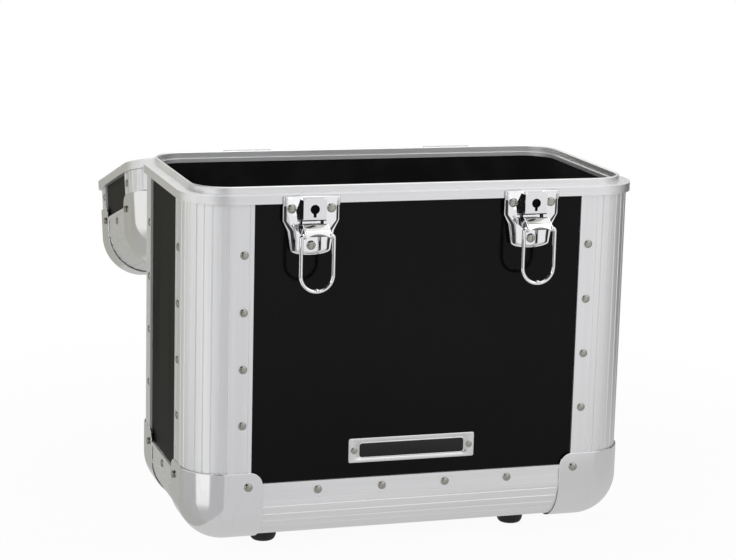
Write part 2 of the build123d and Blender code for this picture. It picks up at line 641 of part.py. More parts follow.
def latch_lever():
    """Lever in its shut position about its pivot: face, rolled lip, knuckle, two cheeks and their bores.

    Sketch X is away from the case and sketch Y is up, both from the pivot.
    """
    outer = LEVER_INNER_RADIUS + LEVER_SHEET
    half = lever_side_width()
    ring = Circle(outer) - Circle(LEVER_INNER_RADIUS)
    wedge_far = 2 * outer
    turn = math.radians(LEVER_KNUCKLE_DEG)
    wedge = Polygon(
        (0, 0),
        (wedge_far, 0),
        (wedge_far * math.cos(turn / 2), wedge_far * math.sin(turn / 2)),
        (wedge_far * math.cos(turn), wedge_far * math.sin(turn)),
        align=None,
    )
    knuckle = ring & wedge
    face = rect_between(LEVER_INNER_RADIUS, outer, -LEVER_LENGTH, 0)
    lip_centre = Pos(outer + LEVER_LIP_RADIUS - LEVER_SHEET, -LEVER_LENGTH)
    lip_ring = lip_centre * (Circle(LEVER_LIP_RADIUS) - Circle(LEVER_LIP_RADIUS - LEVER_SHEET))
    lip_tail = outer + LEVER_LIP_RADIUS - LEVER_SHEET
    lip = lip_ring & rect_between(LEVER_INNER_RADIUS, lip_tail, -LEVER_LENGTH - LEVER_LIP_RADIUS, -LEVER_LENGTH)
    edge = rect_between(
        lip_tail,
        outer - LEVER_SHEET + LEVER_LIP_RISE,
        -LEVER_LENGTH - LEVER_LIP_RADIUS,
        -LEVER_LENGTH - LEVER_LIP_RADIUS + LEVER_SHEET,
    )
    low = -LOOP_PIVOT_DOWN - LEVER_INNER_RADIUS
    loop_pivot = Pos(-LOOP_PIVOT_IN, -LOOP_PIVOT_DOWN)
    bush_radius = LOOP_WIRE_RADIUS + 2 * BUSH_CLEARANCE + BUSH_WALL
    cheek = Circle(outer) + rect_between(0, outer, low, 0)
    cheek += make_hull([*cheek.edges(), *(loop_pivot * Circle(bush_radius + BUSH_WALL)).edges()])
    cheek -= Circle(LEVER_PIN_RADIUS + LEVER_BORE_CLEARANCE)
    cheek -= loop_pivot * Circle(bush_radius)
    plane = side_plane(0, LEVER_PIVOT_Y, LEVER_PIVOT_Z)
    lever = centred_slab(face + lip + edge, plane, 2 * half)
    lever += centred_slab(knuckle, plane, 2 * (LOCK_HALF_WIDTH - LATCH_SHEET - LEVER_SIDE_CLEARANCE))
    for side in (-1, 1):
        cheek_plane = side_plane(side * (half - LEVER_SHEET / 2), LEVER_PIVOT_Y, LEVER_PIVOT_Z)
        lever += centred_slab(cheek, cheek_plane, LEVER_SHEET)
    return lever


def swing_out(item):
    """Turn a latch piece from shut to open about the lever's pivot."""
    axis = Axis((0, LEVER_PIVOT_Y, LEVER_PIVOT_Z), (1, 0, 0))
    return item.rotate(axis, -LEVER_TURN_DEG)


def loop_bushes():
    """Two flanged bushes in the lever's cheeks, in which the ends of the wire loop turn."""
    bore = LOOP_WIRE_RADIUS + BUSH_CLEARANCE
    outer = bore + BUSH_WALL
    inner_x = LOCK_HALF_WIDTH + LEVER_SIDE_CLEARANCE
    outer_x = lever_side_width() + BUSH_STAND_OUT
    bushes = []
    for side in (-1, 1):
        tube = Circle(outer) - Circle(bore)
        plane = side_plane(side * (inner_x + outer_x) / 2, LOOP_PIVOT_Y, LOOP_PIVOT_Z)
        bushes.append(centred_slab(tube, plane, outer_x - inner_x))
    return bushes


def wire_loop():
    """Bent wire loop hanging from its bushes, with the nub that centres it on the catch.

    Its two ends are round where they turn in the bushes; the rest has fewer sides.
    """
    legs_x = LOOP_HALF_WIDTH
    bend = LOOP_END_BEND
    bend_x = legs_x - bend
    leg_low = LOOP_HALF_WIDTH - LOOP_REACH
    diagonal = bend * (1 - math.sqrt(0.5))
    path = ThreePointArc((-bend_x, 0), (diagonal - legs_x, -diagonal), (-legs_x, -bend))
    path += Line((-legs_x, -bend), (-legs_x, leg_low))
    path += ThreePointArc((-legs_x, leg_low), (0, -LOOP_REACH), (legs_x, leg_low))
    path += Line((legs_x, leg_low), (legs_x, -bend))
    path += ThreePointArc((legs_x, -bend), (legs_x - diagonal, -diagonal), (bend_x, 0))
    wire_path = front_plane(0, LOOP_PIVOT_Y, LOOP_PIVOT_Z) * Wire(path.edges())
    start = Plane(origin=(-bend_x, LOOP_PIVOT_Y, LOOP_PIVOT_Z), z_dir=(-1, 0, 0))
    loop = sweep(start * RegularPolygon(LOOP_WIRE_RADIUS, LOOP_SIDES), path=wire_path)
    journal = Rot(0, 90, 0) * Cylinder(LOOP_WIRE_RADIUS, bend_x - LOCK_HALF_WIDTH)
    for side in (-1, 1):
        loop += Pos(side * (bend_x + LOCK_HALF_WIDTH) / 2, LOOP_PIVOT_Y, LOOP_PIVOT_Z) * journal
    nub_z = LOOP_PIVOT_Z - LOOP_REACH + LOOP_NUB_INSET
    return loop + Pos(0, LOOP_PIVOT_Y, nub_z) * Sphere(LOOP_NUB_RADIUS)


# ================================================================ catches on the lid
def lid_catch():
    """Catch over the lid's rim: a pressed tray with an upturned hook, slotted for the loop's nub.

    The hook's floor follows the bent end of the wire loop that is drawn over it.
    """
    base = PARTING_GAP + SEAT_GAP
    outline = rect_between(-CATCH_HALF_WIDTH, CATCH_HALF_WIDTH, base, base + CATCH_HEIGHT)
    outline = fillet(outline.vertices().group_by(Axis.Y)[-1], CATCH_ROUNDING)
    plane = front_plane(0, -HALF_DEPTH + WING_BACK, PARTING_Z)
    height = LATCH_FACE + WING_BACK
    tray = extrude(plane * outline, amount=height)
    tray = fillet(tray.edges().group_by(Axis.Y)[0], LATCH_EDGE_ROUNDING)
    hollow = offset(outline, amount=-LATCH_SHEET, kind=Kind.INTERSECTION)
    tray -= extrude(plane * hollow, amount=height - LATCH_SHEET)
    band_top = PARTING_Z + PARTING_GAP + LID_BAND_HEIGHT + 2 * SEAT_GAP
    tray -= box_between(
        (-CASE_WIDTH, -HALF_DEPTH - LATCH_FACE + LATCH_SHEET, PARTING_Z),
        (CASE_WIDTH, 0, band_top),
    )
    seat_centre = Pos(0, LOOP_REACH - LOOP_HALF_WIDTH - LEVER_PIVOT_DROP - LOOP_PIVOT_DOWN)
    seat_outer = LOOP_HALF_WIDTH - LOOP_WIRE_RADIUS - CATCH_CLEARANCE
    seat_inner = seat_outer - LATCH_SHEET
    seat_top = LOOP_REACH - LEVER_PIVOT_DROP - LOOP_PIVOT_DOWN - LOOP_WIRE_RADIUS - CATCH_CLEARANCE
    half_width = CATCH_HOOK_HALF_WIDTH
    column = rect_between(-half_width, half_width, -LOCK_TOP_DROP, seat_top + CATCH_LIP_HEIGHT)
    lip_in = LEVER_PIVOT_OUT - LOOP_PIVOT_IN + LOOP_WIRE_RADIUS + CATCH_CLEARANCE
    root = LATCH_FACE - LATCH_SHEET / 2
    floor = (seat_centre * (Circle(seat_outer) - Circle(seat_inner))) & column
    hook = extrude(front_plane(0, -HALF_DEPTH - root, PARTING_Z) * floor, amount=lip_in - root)
    lip = column - seat_centre * Circle(seat_inner)
    hook += extrude(front_plane(0, -HALF_DEPTH - lip_in, PARTING_Z) * lip, amount=LATCH_SHEET)
    slot = box_between(
        (-CATCH_SLOT_HALF_WIDTH, -HALF_DEPTH - lip_in - 2 * LATCH_SHEET, PARTING_Z - LOCK_TOP_DROP),
        (CATCH_SLOT_HALF_WIDTH, -HALF_DEPTH - LATCH_FACE, PARTING_Z + CATCH_HEIGHT),
    )
    return tray + (hook - slot)


def catch_rivets():
    """Two rivets in each catch."""
    level = PARTING_Z + PARTING_GAP + CATCH_HEIGHT - CATCH_RIVET_DROP
    places = [side * LATCH_X + end * CATCH_RIVET_X for side in (-1, 1) for end in (-1, 1)]
    return [on_face("front", x, level, LATCH_FACE, rivet(LATCH_RIVET_RISE)) for x in places]


# ================================================================ handle
def handle_bracket():
    """Pressed bracket on the lid's top: a riveted foot and two ears that carry a handle pin."""
    floor_z = LID_TOP_Z - WING_BACK
    ear_gap = HANDLE_ARM_WIDTH + 2 * BRACKET_SIDE_GAP
    outer = ear_gap / 2 + BRACKET_SHEET
    half_width = BRACKET_FOOT_WIDTH / 2
    foot_outline = rect_between(-outer, outer + BRACKET_FOOT_LENGTH, -half_width, half_width)
    foot_outline = fillet(foot_outline.vertices().group_by(Axis.X)[-1], CATCH_ROUNDING)
    foot = extrude(Pos(0, 0, floor_z) * foot_outline, amount=BRACKET_SHEET)
    stem = rect_between(-BRACKET_EAR_RADIUS, BRACKET_EAR_RADIUS, 0, HANDLE_PIVOT_HEIGHT)
    pivot = Pos(0, HANDLE_PIVOT_HEIGHT)
    ear = (stem + pivot * Circle(BRACKET_EAR_RADIUS)) - pivot * Circle(HANDLE_PIN_RADIUS + SEAT_GAP / 2)
    bracket = foot
    for side in (-1, 1):
        middle = side * (outer - BRACKET_SHEET / 2)
        bracket += centred_slab(ear, side_plane(middle, 0, floor_z), BRACKET_SHEET)
    return bracket


def handle_brackets():
    """Left and right bracket, with their riveted feet pointing outwards."""
    bracket = handle_bracket()
    right = Pos(HANDLE_SPAN / 2, 0, 0) * bracket
    return [Rot(0, 0, 180) * right, right]


def bracket_rivets():
    """Two rivets in each bracket's foot."""
    outer = HANDLE_ARM_WIDTH / 2 + BRACKET_SIDE_GAP + BRACKET_SHEET
    x = HANDLE_SPAN / 2 + outer + BRACKET_RIVET_INSET
    offset_y = BRACKET_FOOT_WIDTH / 2 - BRACKET_RIVET_EDGE
    level = LID_TOP_Z - WING_BACK + BRACKET_SHEET
    head = rivet(LATCH_RIVET_RISE)
    return [Pos(side * x, end * offset_y, level) * head for side in (-1, 1) for end in (-1, 1)]


def handle_pins():
    """Pins through the brackets' ears and the handle's eyes."""
    length = HANDLE_ARM_WIDTH + 2 * BRACKET_SIDE_GAP + 2 * BRACKET_SHEET
    pin = Rot(0, 90, 0) * Cylinder(HANDLE_PIN_RADIUS, length)
    return [Pos(side * HANDLE_SPAN / 2, 0, HANDLE_PIVOT_Z) * pin for side in (-1, 1)]


def handle_grip():
    """Moulded bail handle standing upright over its pivots, with finger grooves under the grip."""
    half_span = (HANDLE_SPAN + HANDLE_ARM_WIDTH) / 2
    eye_radius = HANDLE_THICKNESS / 2
    top = HANDLE_REACH + HANDLE_GRIP_DEPTH / 2
    outer = rect_between(-half_span, half_span, -eye_radius, top)
    outer = fillet(outer.vertices().group_by(Axis.Y)[-1], HANDLE_ARM_ROUNDING + HANDLE_GRIP_DEPTH)
    inner_half = half_span - HANDLE_ARM_WIDTH
    gap = rect_between(-inner_half, inner_half, -2 * eye_radius, top - HANDLE_GRIP_DEPTH)
    gap = fillet(gap.vertices().group_by(Axis.Y)[-1], HANDLE_ARM_ROUNDING)
    plane = front_plane(0, 0, HANDLE_PIVOT_Z)
    bail = centred_slab(outer - gap, plane, 2 * HANDLE_THICKNESS)
    side = Circle(eye_radius) + rect_between(-eye_radius, eye_radius, 0, top + 1)
    bail = bail & centred_slab(side, side_plane(0, 0, HANDLE_PIVOT_Z), 3 * half_span)
    bail = chamfer(bail.edges(), HANDLE_EDGE_CHAMFER)
    for index in range(HANDLE_GROOVE_COUNT):
        x = (index - (HANDLE_GROOVE_COUNT - 1) / 2) * HANDLE_GROOVE_PITCH
        groove_y = top - HANDLE_GRIP_DEPTH - HANDLE_GROOVE_RADIUS + HANDLE_GROOVE_DEPTH
        bail -= centred_slab(Pos(x, groove_y) * Circle(HANDLE_GROOVE_RADIUS), plane, HANDLE_THICKNESS)
    bore = Circle(HANDLE_PIN_RADIUS + HANDLE_PIN_CLEARANCE)
    bail -= centred_slab(bore, side_plane(0, 0, HANDLE_PIVOT_Z), 3 * half_span)
    return bail


# ================================================================ assembly
def lid_flip():
    """Location that turns a shell standing on its closed end into the lid, shut on the body."""
    return Pos(0, 0, LID_TOP_Z) * Rot(180, 0, 0)


def body_nodes():
    """Every piece that is fixed to the body."""
    section = extrusion_section()
    stand = Pos(0, 0, UNDERSIDE_Z)
    nodes = {}
    for name, panel in shell_panels(BODY_WALL_TOP).items():
        nodes["base_panel" if name == "end" else name + "_panel"] = stand * panel
    for name, post in corner_extrusions(section, BODY_WALL_TOP).items():
        nodes["corner_extrusion_" + name] = stand * post
    for name, edge in edge_extrusions(section).items():
        nodes["base_extrusion_" + name] = stand * edge
    heights = [
        UNDERSIDE_Z + COLUMN_LOWEST_RIVET + index * COLUMN_RIVET_PITCH for index in range(COLUMN_RIVET_COUNT)
    ]
    nodes["body_rim"] = body_rim()
    nodes["body_ball_corners"] = [stand * corner for corner in ball_corners()]
    nodes["body_lining"] = stand * lining(BODY_WALL_TOP, INNER_LIP_DROP - RIM_WEB)
    nodes["body_rivets"] = shell_rivets(heights, lambda z: UNDERSIDE_Z + z) + hinge_rivets(-1)
    nodes["feet"] = feet()
    nodes["foot_screws"] = foot_screws()
    nodes["nameplate"] = nameplate()
    nodes["nameplate_rivets"] = nameplate_rivets()
    nodes["hinge_body_leaves"] = hinge_halves(-1)
    nodes["hinge_pins"] = hinge_pins()
    nodes["latch_rivets"] = latch_rivets()
    nodes["latch_pins"] = [Pos(side * LATCH_X, 0, 0) * lever_pin() for side in (-1, 1)]
    for name, side in (("left", -1), ("right", 1)):
        place = Pos(side * LATCH_X, 0, 0)
        nodes["latch_plate_" + name] = place * latch_plate()
        nodes["lock_housing_" + name] = place * lock_housing()
    return nodes


def latch_nodes():
    """The moving pieces of both latches, levers swung out and loops hanging."""
    nodes = {}
    lever = swing_out(latch_lever())
    loop = wire_loop()
    bushes = loop_bushes()
    for name, side in (("left", -1), ("right", 1)):
        place = Pos(side * LATCH_X, 0, 0)
        nodes["latch_lever_" + name] = place * lever
        nodes["loop_bushes_" + name] = [place * bush for bush in bushes]
        nodes["latch_loop_" + name] = place * loop
    return nodes


def lid_nodes():
    """Every piece that is fixed to the lid, with the lid shut."""
    section = extrusion_section()
    flip = lid_flip()
    nodes = {}
    swapped = {"front": "rear", "rear": "front"}
    for name, panel in shell_panels(LID_WALL_TOP).items():
        nodes["lid_top_panel" if name == "end" else f"lid_{swapped.get(name, name)}_panel"] = flip * panel
    for name, post in corner_extrusions(section, LID_WALL_TOP).items():
        end, side = name.split("_")
        nodes[f"lid_corner_extrusion_{swapped[end]}_{side}"] = flip * post
    for name, edge in edge_extrusions(section).items():
        nodes[f"lid_edge_extrusion_{swapped.get(name, name)}"] = flip * edge
    heights = [PARTING_Z + LID_COLUMN_RIVET]
    nodes["lid_rim"] = lid_rim()
    nodes["lid_ball_corners"] = [flip * corner for corner in ball_corners()]
    nodes["lid_lining"] = flip * lining(LID_WALL_TOP, LID_INNER_LIP + SEAT_GAP)
    nodes["lid_rivets"] = (
        shell_rivets(heights, lambda z: LID_TOP_Z - z) + hinge_rivets(1) + catch_rivets() + bracket_rivets()
    )
    nodes["hinge_lid_leaves"] = hinge_halves(1)
    nodes["lid_catches"] = [Pos(side * LATCH_X, 0, 0) * lid_catch() for side in (-1, 1)]
    nodes["handle_brackets"] = handle_brackets()
    nodes["handle_pins"] = handle_pins()
    return nodes


def hanging_handle():
    """The handle tilted forwards on the shut lid, so that it hangs plumb when the lid is open."""
    axis = Axis((0, 0, HANDLE_PIVOT_Z), (1, 0, 0))
    return handle_grip().rotate(axis, LID_OPEN_DEG - 180.0)


def open_lid(item):
    """Swing a lid piece from shut to its stop behind the body."""
    return item.rotate(Axis((0, PIN_Y, PIN_Z), (1, 0, 0)), -LID_OPEN_DEG)


def as_shape(item):
    """One shape for a node, whether it is a piece or a group of separate pieces."""
    if isinstance(item, list):
        return Compound(children=[piece for entry in item for piece in entry.solids()])
    return item


def assemble():
    """All nodes in the pose of the open case, not yet centred on the origin."""
    nodes = {name: as_shape(item) for name, item in {**body_nodes(), **latch_nodes()}.items()}
    lid = lid_nodes()
    lid["handle_grip"] = hanging_handle()
    for name, item in lid.items():
        nodes[name] = open_lid(as_shape(item))
    return nodes


def main():
    nodes = assemble()
    boxes = [shape.bounding_box() for shape in nodes.values()]
    front = min(box.min.Y for box in boxes)
    rear = max(box.max.Y for box in boxes)
    shift = -(front + rear) / 2
    os.makedirs("parts", exist_ok=True)
    for name, shape in nodes.items():
        export_step(Pos(0, shift, 0) * shape, f"parts/{name}.step")
    handle = Pos(0, 0, HANDLE_PIVOT_Z) * Vertex(0, 0, 0)
    handle_axis = open_lid(handle).center()
    print("nodes", len(nodes), "shift along Y", round(shift, 3))
    print("lid hinge", round(PIN_Y + shift, 3), round(PIN_Z, 3), "opens", round(LID_OPEN_DEG, 3))
    print("handle pivot", round(handle_axis.Y + shift, 3), round(handle_axis.Z, 3))
    print("lever pivot", round(LEVER_PIVOT_Y + shift, 3), round(LEVER_PIVOT_Z, 3))
    print("loop pivot", round(LOOP_PIVOT_Y + shift, 3), round(LOOP_PIVOT_Z, 3))
    print("parting plane", round(PARTING_Z, 3), "lid top when shut", round(LID_TOP_Z, 3))


main()
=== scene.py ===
"""A record carrying case with its lid swung over the back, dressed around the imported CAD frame.

Metres throughout, in the frame of the CAD: +X right, +Y to the rear, +Z up.
"""

import json
import logging
import math
from dataclasses import dataclass, field
from typing import Any, Callable, Iterable, Sequence

import bmesh
import bpy
import mathutils.geometry
from mathutils import Matrix, Vector

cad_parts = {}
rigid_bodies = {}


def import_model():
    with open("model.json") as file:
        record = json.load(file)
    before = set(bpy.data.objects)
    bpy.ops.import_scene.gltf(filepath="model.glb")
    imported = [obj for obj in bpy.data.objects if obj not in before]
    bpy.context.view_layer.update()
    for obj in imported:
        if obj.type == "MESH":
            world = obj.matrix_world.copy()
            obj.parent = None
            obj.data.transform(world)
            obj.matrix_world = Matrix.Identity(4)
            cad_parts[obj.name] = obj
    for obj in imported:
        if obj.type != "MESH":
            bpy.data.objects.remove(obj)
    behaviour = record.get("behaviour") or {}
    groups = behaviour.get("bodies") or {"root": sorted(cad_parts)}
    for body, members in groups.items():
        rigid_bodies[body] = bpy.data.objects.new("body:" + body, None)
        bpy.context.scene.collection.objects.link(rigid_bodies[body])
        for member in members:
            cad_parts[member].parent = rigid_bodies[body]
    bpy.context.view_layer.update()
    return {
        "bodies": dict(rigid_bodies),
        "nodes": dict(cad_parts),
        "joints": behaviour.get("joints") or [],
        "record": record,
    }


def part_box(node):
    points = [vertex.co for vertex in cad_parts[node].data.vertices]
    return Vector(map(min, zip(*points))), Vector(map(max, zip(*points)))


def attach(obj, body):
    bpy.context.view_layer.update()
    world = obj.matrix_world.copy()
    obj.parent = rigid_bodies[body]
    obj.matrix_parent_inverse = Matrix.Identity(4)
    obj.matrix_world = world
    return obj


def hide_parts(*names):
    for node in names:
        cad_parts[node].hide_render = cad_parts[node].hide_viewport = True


log = logging.getLogger("case")

LID_LEAN = 16.07  # degrees past upside down at which the lid hangs

Point = tuple[float, float, float]
Profile = Sequence[tuple[float, float]]
Colour = tuple[float, float, float, float]


# ------------------------------------------------------------------ shader maths
class Num:
    """A number carried by a node socket; Python arithmetic on it adds Math nodes."""

    def __init__(self, shading: "Shading", socket: bpy.types.NodeSocket) -> None:
        """Wrap a socket.

        Args:
            shading: The material under construction.
            socket: The output socket that carries the number.
        """
        self.shading = shading
        self.socket = socket

    def _math(self, operation: str, first: Any, second: Any = None, clamp: bool = False) -> "Num":
        """Add one Math node.

        Args:
            operation: The Math node's operation.
            first: Its first value or link.
            second: Its second value or link, where it has one.
            clamp: Whether the result is kept between 0 and 1.

        Returns:
            The result as a number.
        """
        inputs = {0: first} if second is None else {0: first, 1: second}
        node = self.shading.node("ShaderNodeMath", {"operation": operation, "use_clamp": clamp}, inputs)
        return Num(self.shading, node.outputs[0])

    def __add__(self, other: Any) -> "Num":
        """Sum."""
        return self._math("ADD", self, other)

    __radd__ = __add__

    def __sub__(self, other: Any) -> "Num":
        """Difference."""
        return self._math("SUBTRACT", self, other)

    def __rsub__(self, other: Any) -> "Num":
        """Reflected difference."""
        return self._math("SUBTRACT", other, self)

    def __mul__(self, other: Any) -> "Num":
        """Product."""
        return self._math("MULTIPLY", self, other)

    __rmul__ = __mul__

    def __truediv__(self, other: Any) -> "Num":
        """Quotient."""
        return self._math("DIVIDE", self, other)

    def __pow__(self, other: Any) -> "Num":
        """Power."""
        return self._math("POWER", self, other)

    def clamped(self) -> "Num":
        """Kept between 0 and 1."""
        return self._math("ADD", self, 0.0, clamp=True)

    def above(self, low: float, high: float) -> "Num":
        """Smooth step.

        Args:
            low: Where the result leaves 0.
            high: Where the result reaches 1.

        Returns:
            A number from 0 to 1.
        """
        settings = {"interpolation_type": "SMOOTHSTEP"}
        node = self.shading.node("ShaderNodeMapRange", settings, {0: self, 1: low, 2: high, 3: 0.0, 4: 1.0})
        return Num(self.shading, node.outputs[0])


class Shading:
    """A material under construction, with one way to add any node."""

    def __init__(self, name: str) -> None:
        """Start an empty material with a Principled shader.

        Args:
            name: The material's name.
        """
        self.material = bpy.data.materials.new(name)
        self.material.use_nodes = True
        self.tree = self.material.node_tree
        self.tree.nodes.clear()
        self.surface = self.node("ShaderNodeBsdfPrincipled")
        self.output = self.node("ShaderNodeOutputMaterial", None, {"Surface": self.surface.outputs[0]})

    def node(
        self,
        kind: str,
        settings: dict[str, Any] | None = None,
        inputs: dict[str | int, Any] | None = None,
    ) -> bpy.types.Node:
        """Add a node.

        Args:
            kind: The node's type.
            settings: Its properties, set first; "stops" fills a colour ramp.
            inputs: Values or links of its sockets, by name or index.

        Returns:
            The node.
        """
        node = self.tree.nodes.new(kind)
        for key, value in (settings or {}).items():
            if key == "stops":
                self._fill_ramp(node.color_ramp, value)
            else:
                setattr(node, key, value)
        for key, value in (inputs or {}).items():
            socket = node.inputs[key]
            if isinstance(value, Num):
                value = value.socket
            if isinstance(value, bpy.types.NodeSocket):
                self.tree.links.new(value, socket)
            else:
                socket.default_value = value
        return node

    @staticmethod
    def _fill_ramp(ramp: bpy.types.ColorRamp, stops: Sequence[tuple[float, Sequence[float]]]) -> None:
        """Give a colour ramp its stops.

        Args:
            ramp: The ramp to fill.
            stops: Positions with their RGBA colours.
        """
        while len(ramp.elements) < len(stops):
            ramp.elements.new(1.0)
        for element, (position, colour) in zip(ramp.elements, stops):
            element.position = position
            element.color = colour

    def set(self, **values: Any) -> None:
        """Set sockets of the Principled shader.

        Args:
            values: Socket names with underscores for spaces, and their values or links.
        """
        for key, value in values.items():
            socket = self.surface.inputs[key.replace("_", " ")]
            if isinstance(value, Num):
                value = value.socket
            if isinstance(value, bpy.types.NodeSocket):
                self.tree.links.new(value, socket)
            else:
                socket.default_value = value

    def place(self) -> bpy.types.NodeSocket:
        """The surface's own coordinates in metres."""
        return self.node("ShaderNodeTexCoord").outputs["Object"]

    def facing(self, axis: str) -> Num:
        """One component of the direction in which the surface faces."""
        normal = self.node("ShaderNodeNewGeometry").outputs["Normal"]
        return Num(self, self.node("ShaderNodeSeparateXYZ", None, {0: normal}).outputs[axis])

    def along(self, place: bpy.types.NodeSocket, axis: Point, keep: float) -> bpy.types.NodeSocket:
        """Squeeze coordinates along an axis, so that a texture on them runs in streaks.

        Args:
            place: The coordinates.
            axis: Unit vector along the streaks.
            keep: What is left of a length along the axis.

        Returns:
            The squeezed coordinates.
        """
        dot = self.node("ShaderNodeVectorMath", {"operation": "DOT_PRODUCT"}, {0: place, 1: axis})
        share = [component * (keep - 1.0) for component in axis]
        scaled = self.node(
            "ShaderNodeVectorMath", {"operation": "SCALE"}, {0: share, "Scale": dot.outputs["Value"]}
        )
        moved = self.node("ShaderNodeVectorMath", {"operation": "ADD"}, {0: place, 1: scaled.outputs[0]})
        return moved.outputs[0]

    def noise(
        self,
        place: bpy.types.NodeSocket,
        scale: float,
        detail: float = 3.0,
        distort: float = 0.0,
    ) -> Num:
        """Smooth noise.

        Args:
            place: Coordinates in metres.
            scale: Cells per metre.
            detail: Octaves.
            distort: How far the noise bends itself.

        Returns:
            Noise around 0.5.
        """
        inputs = {"Vector": place, "Scale": scale, "Detail": detail, "Distortion": distort}
        return Num(self, self.node("ShaderNodeTexNoise", None, inputs).outputs["Fac"])

    def cells(self, place: bpy.types.NodeSocket, scale: float, feature: str = "F1") -> Num:
        """Distance to scattered points.

        Args:
            place: Coordinates in metres.
            scale: Points per metre.
            feature: The Voronoi feature.

        Returns:
            The distance in cells.
        """
        node = self.node("ShaderNodeTexVoronoi", {"feature": feature}, {"Vector": place, "Scale": scale})
        return Num(self, node.outputs["Distance"])

    def blend(self, factor: Any, first: Any, second: Any) -> bpy.types.NodeSocket:
        """Mix two colours.

        Args:
            factor: Share of the second colour.
            first: Colour or link.
            second: Colour or link.

        Returns:
            The mixed colour.
        """
        node = self.node("ShaderNodeMix", {"data_type": "RGBA", "clamp_factor": True})
        for index, value in ((0, factor), (6, first), (7, second)):
            if isinstance(value, Num):
                value = value.socket
            if isinstance(value, bpy.types.NodeSocket):
                self.tree.links.new(value, node.inputs[index])
            else:
                node.inputs[index].default_value = value
        return node.outputs[2]

    def bump(
        self,
        height: Num,
        depth: float,
        strength: float = 1.0,
        under: Any = None,
    ) -> bpy.types.NodeSocket:
        """Turn a height into a normal.

        Args:
            height: The height, from 0 to 1.
            depth: Metres that a height of 1 stands for.
            strength: Share of the effect.
            under: The normal of a coarser bump below this one.

        Returns:
            The normal.
        """
        inputs: dict[str | int, Any] = {"Height": height, "Distance": depth, "Strength": strength}
        if under is not None:
            inputs["Normal"] = under
        return self.node("ShaderNodeBump", None, inputs).outputs[0]


def rgba(red: float, green: float, blue: float) -> Colour:
    """A linear colour with full alpha.

    Args:
        red: Red.
        green: Green.
        blue: Blue.

    Returns:
        The colour with its alpha.
    """
    return (red, green, blue, 1.0)


def tinted(colour: Sequence[float], factor: float) -> Colour:
    """A colour made lighter or darker.

    Args:
        colour: The colour.
        factor: What it is multiplied by.

    Returns:
        The new colour.
    """
    return rgba(*(min(1.0, channel * factor) for channel in colour[:3]))


# ------------------------------------------------------------------ finishes
@dataclass(frozen=True)
class Laminate:
    """Black laminate bonded to plywood: very dark, softly glossy, with a faint pebble and dust."""

    name: str
    colour: Colour
    roughness: float
    specular: float

    def material(self) -> bpy.types.Material:
        """Build the material."""
        s = Shading(self.name)
        place = s.place()
        cloud = s.noise(place, 9.0, 4.0)
        pebble = s.noise(place, 900.0, 2.0)
        smear = s.noise(s.along(place, (0.0, 0.0, 1.0), 0.12), 60.0, 3.0).above(0.52, 0.75)
        speck = 1.0 - s.cells(place, 260.0).above(0.03, 0.07)
        dusty = speck * s.noise(place, 23.0).above(0.5, 0.7)
        tone = s.blend(cloud.above(0.3, 0.7), tinted(self.colour, 0.9), tinted(self.colour, 1.12))
        s.set(
            Base_Color=s.blend(dusty * 0.12, tone, rgba(0.06, 0.06, 0.055)),
            Roughness=self.roughness + 0.05 * cloud + 0.05 * smear + 0.3 * dusty,
            Specular_IOR_Level=self.specular,
            Normal=s.bump(pebble, 0.00002, 0.35, s.bump(cloud, 0.0003, 0.1)),
        )
        return s.material


@dataclass(frozen=True)
class DrawnAluminium:
    """Satin extrusion: bright, with fine lines along the direction it was drawn in."""

    name: str
    colour: Colour
    roughness: float
    axis: Point

    def material(self) -> bpy.types.Material:
        """Build the material."""
        s = Shading(self.name)
        place = s.place()
        streak = s.noise(s.along(place, self.axis, 0.012), 1400.0, 4.0)
        broad = s.noise(s.along(place, self.axis, 0.03), 160.0, 3.0)
        cloud = s.noise(place, 14.0, 4.0)
        nick = 1.0 - s.cells(s.along(place, self.axis, 0.3), 210.0).above(0.02, 0.06)
        rubbed = nick * s.noise(place, 31.0).above(0.56, 0.66)
        tone = s.blend(broad.above(0.3, 0.7), tinted(self.colour, 0.97), tinted(self.colour, 1.02))
        s.set(
            Base_Color=s.blend(rubbed * 0.4, tone, tinted(self.colour, 0.6)),
            Metallic=1.0,
            Roughness=self.roughness + 0.1 * (streak - 0.5) + 0.08 * (cloud - 0.5) + 0.2 * rubbed,
            Normal=s.bump(streak, 0.00002, 0.12),
        )
        return s.material


@dataclass(frozen=True)
class PressedMetal:
    """Polished sheet that was pressed to shape: wavy, scuffed and hazed, with optional painted shade (dark
    reflection) on faces turned sideways.
    """

    name: str
    colour: Colour
    roughness: float
    haze: float
    waviness: float
    painted_side_shade: float = 0.0

    def material(self) -> bpy.types.Material:
        """Build the material."""
        s = Shading(self.name)
        place = s.place()
        wave = s.noise(place, 30.0, 1.0)
        haze = s.noise(s.along(place, (0.0, 0.0, 1.0), 0.3), 150.0, 5.0, 0.3).above(0.5, 0.85)
        fine = s.noise(place, 900.0, 3.0)
        line = s.noise(s.along(place, (0.0, 0.28, 0.96), 0.04), 650.0, 2.0).above(0.68, 0.72)
        scuff = line * s.noise(place, 45.0).above(0.52, 0.66)
        tone = s.blend(haze * 0.3 + scuff * 0.3, self.colour, tinted(self.colour, 0.84))
        # Painted shade: faces turned sideways are darkened towards black, standing in for dark reflections.
        if self.painted_side_shade:
            across = s.facing("X")
            painted_side_shaded = (across * across).above(0.01, 0.12) * self.painted_side_shade
            tone = s.blend(painted_side_shaded, tone, rgba(0.03, 0.03, 0.028))
        s.set(
            Base_Color=tone,
            Metallic=1.0,
            Roughness=self.roughness + self.haze * haze + 0.02 * fine + 0.1 * scuff,
            Normal=s.bump(fine, 0.00001, 0.1, s.bump(wave, self.waviness, 0.5)),
        )
        return s.material


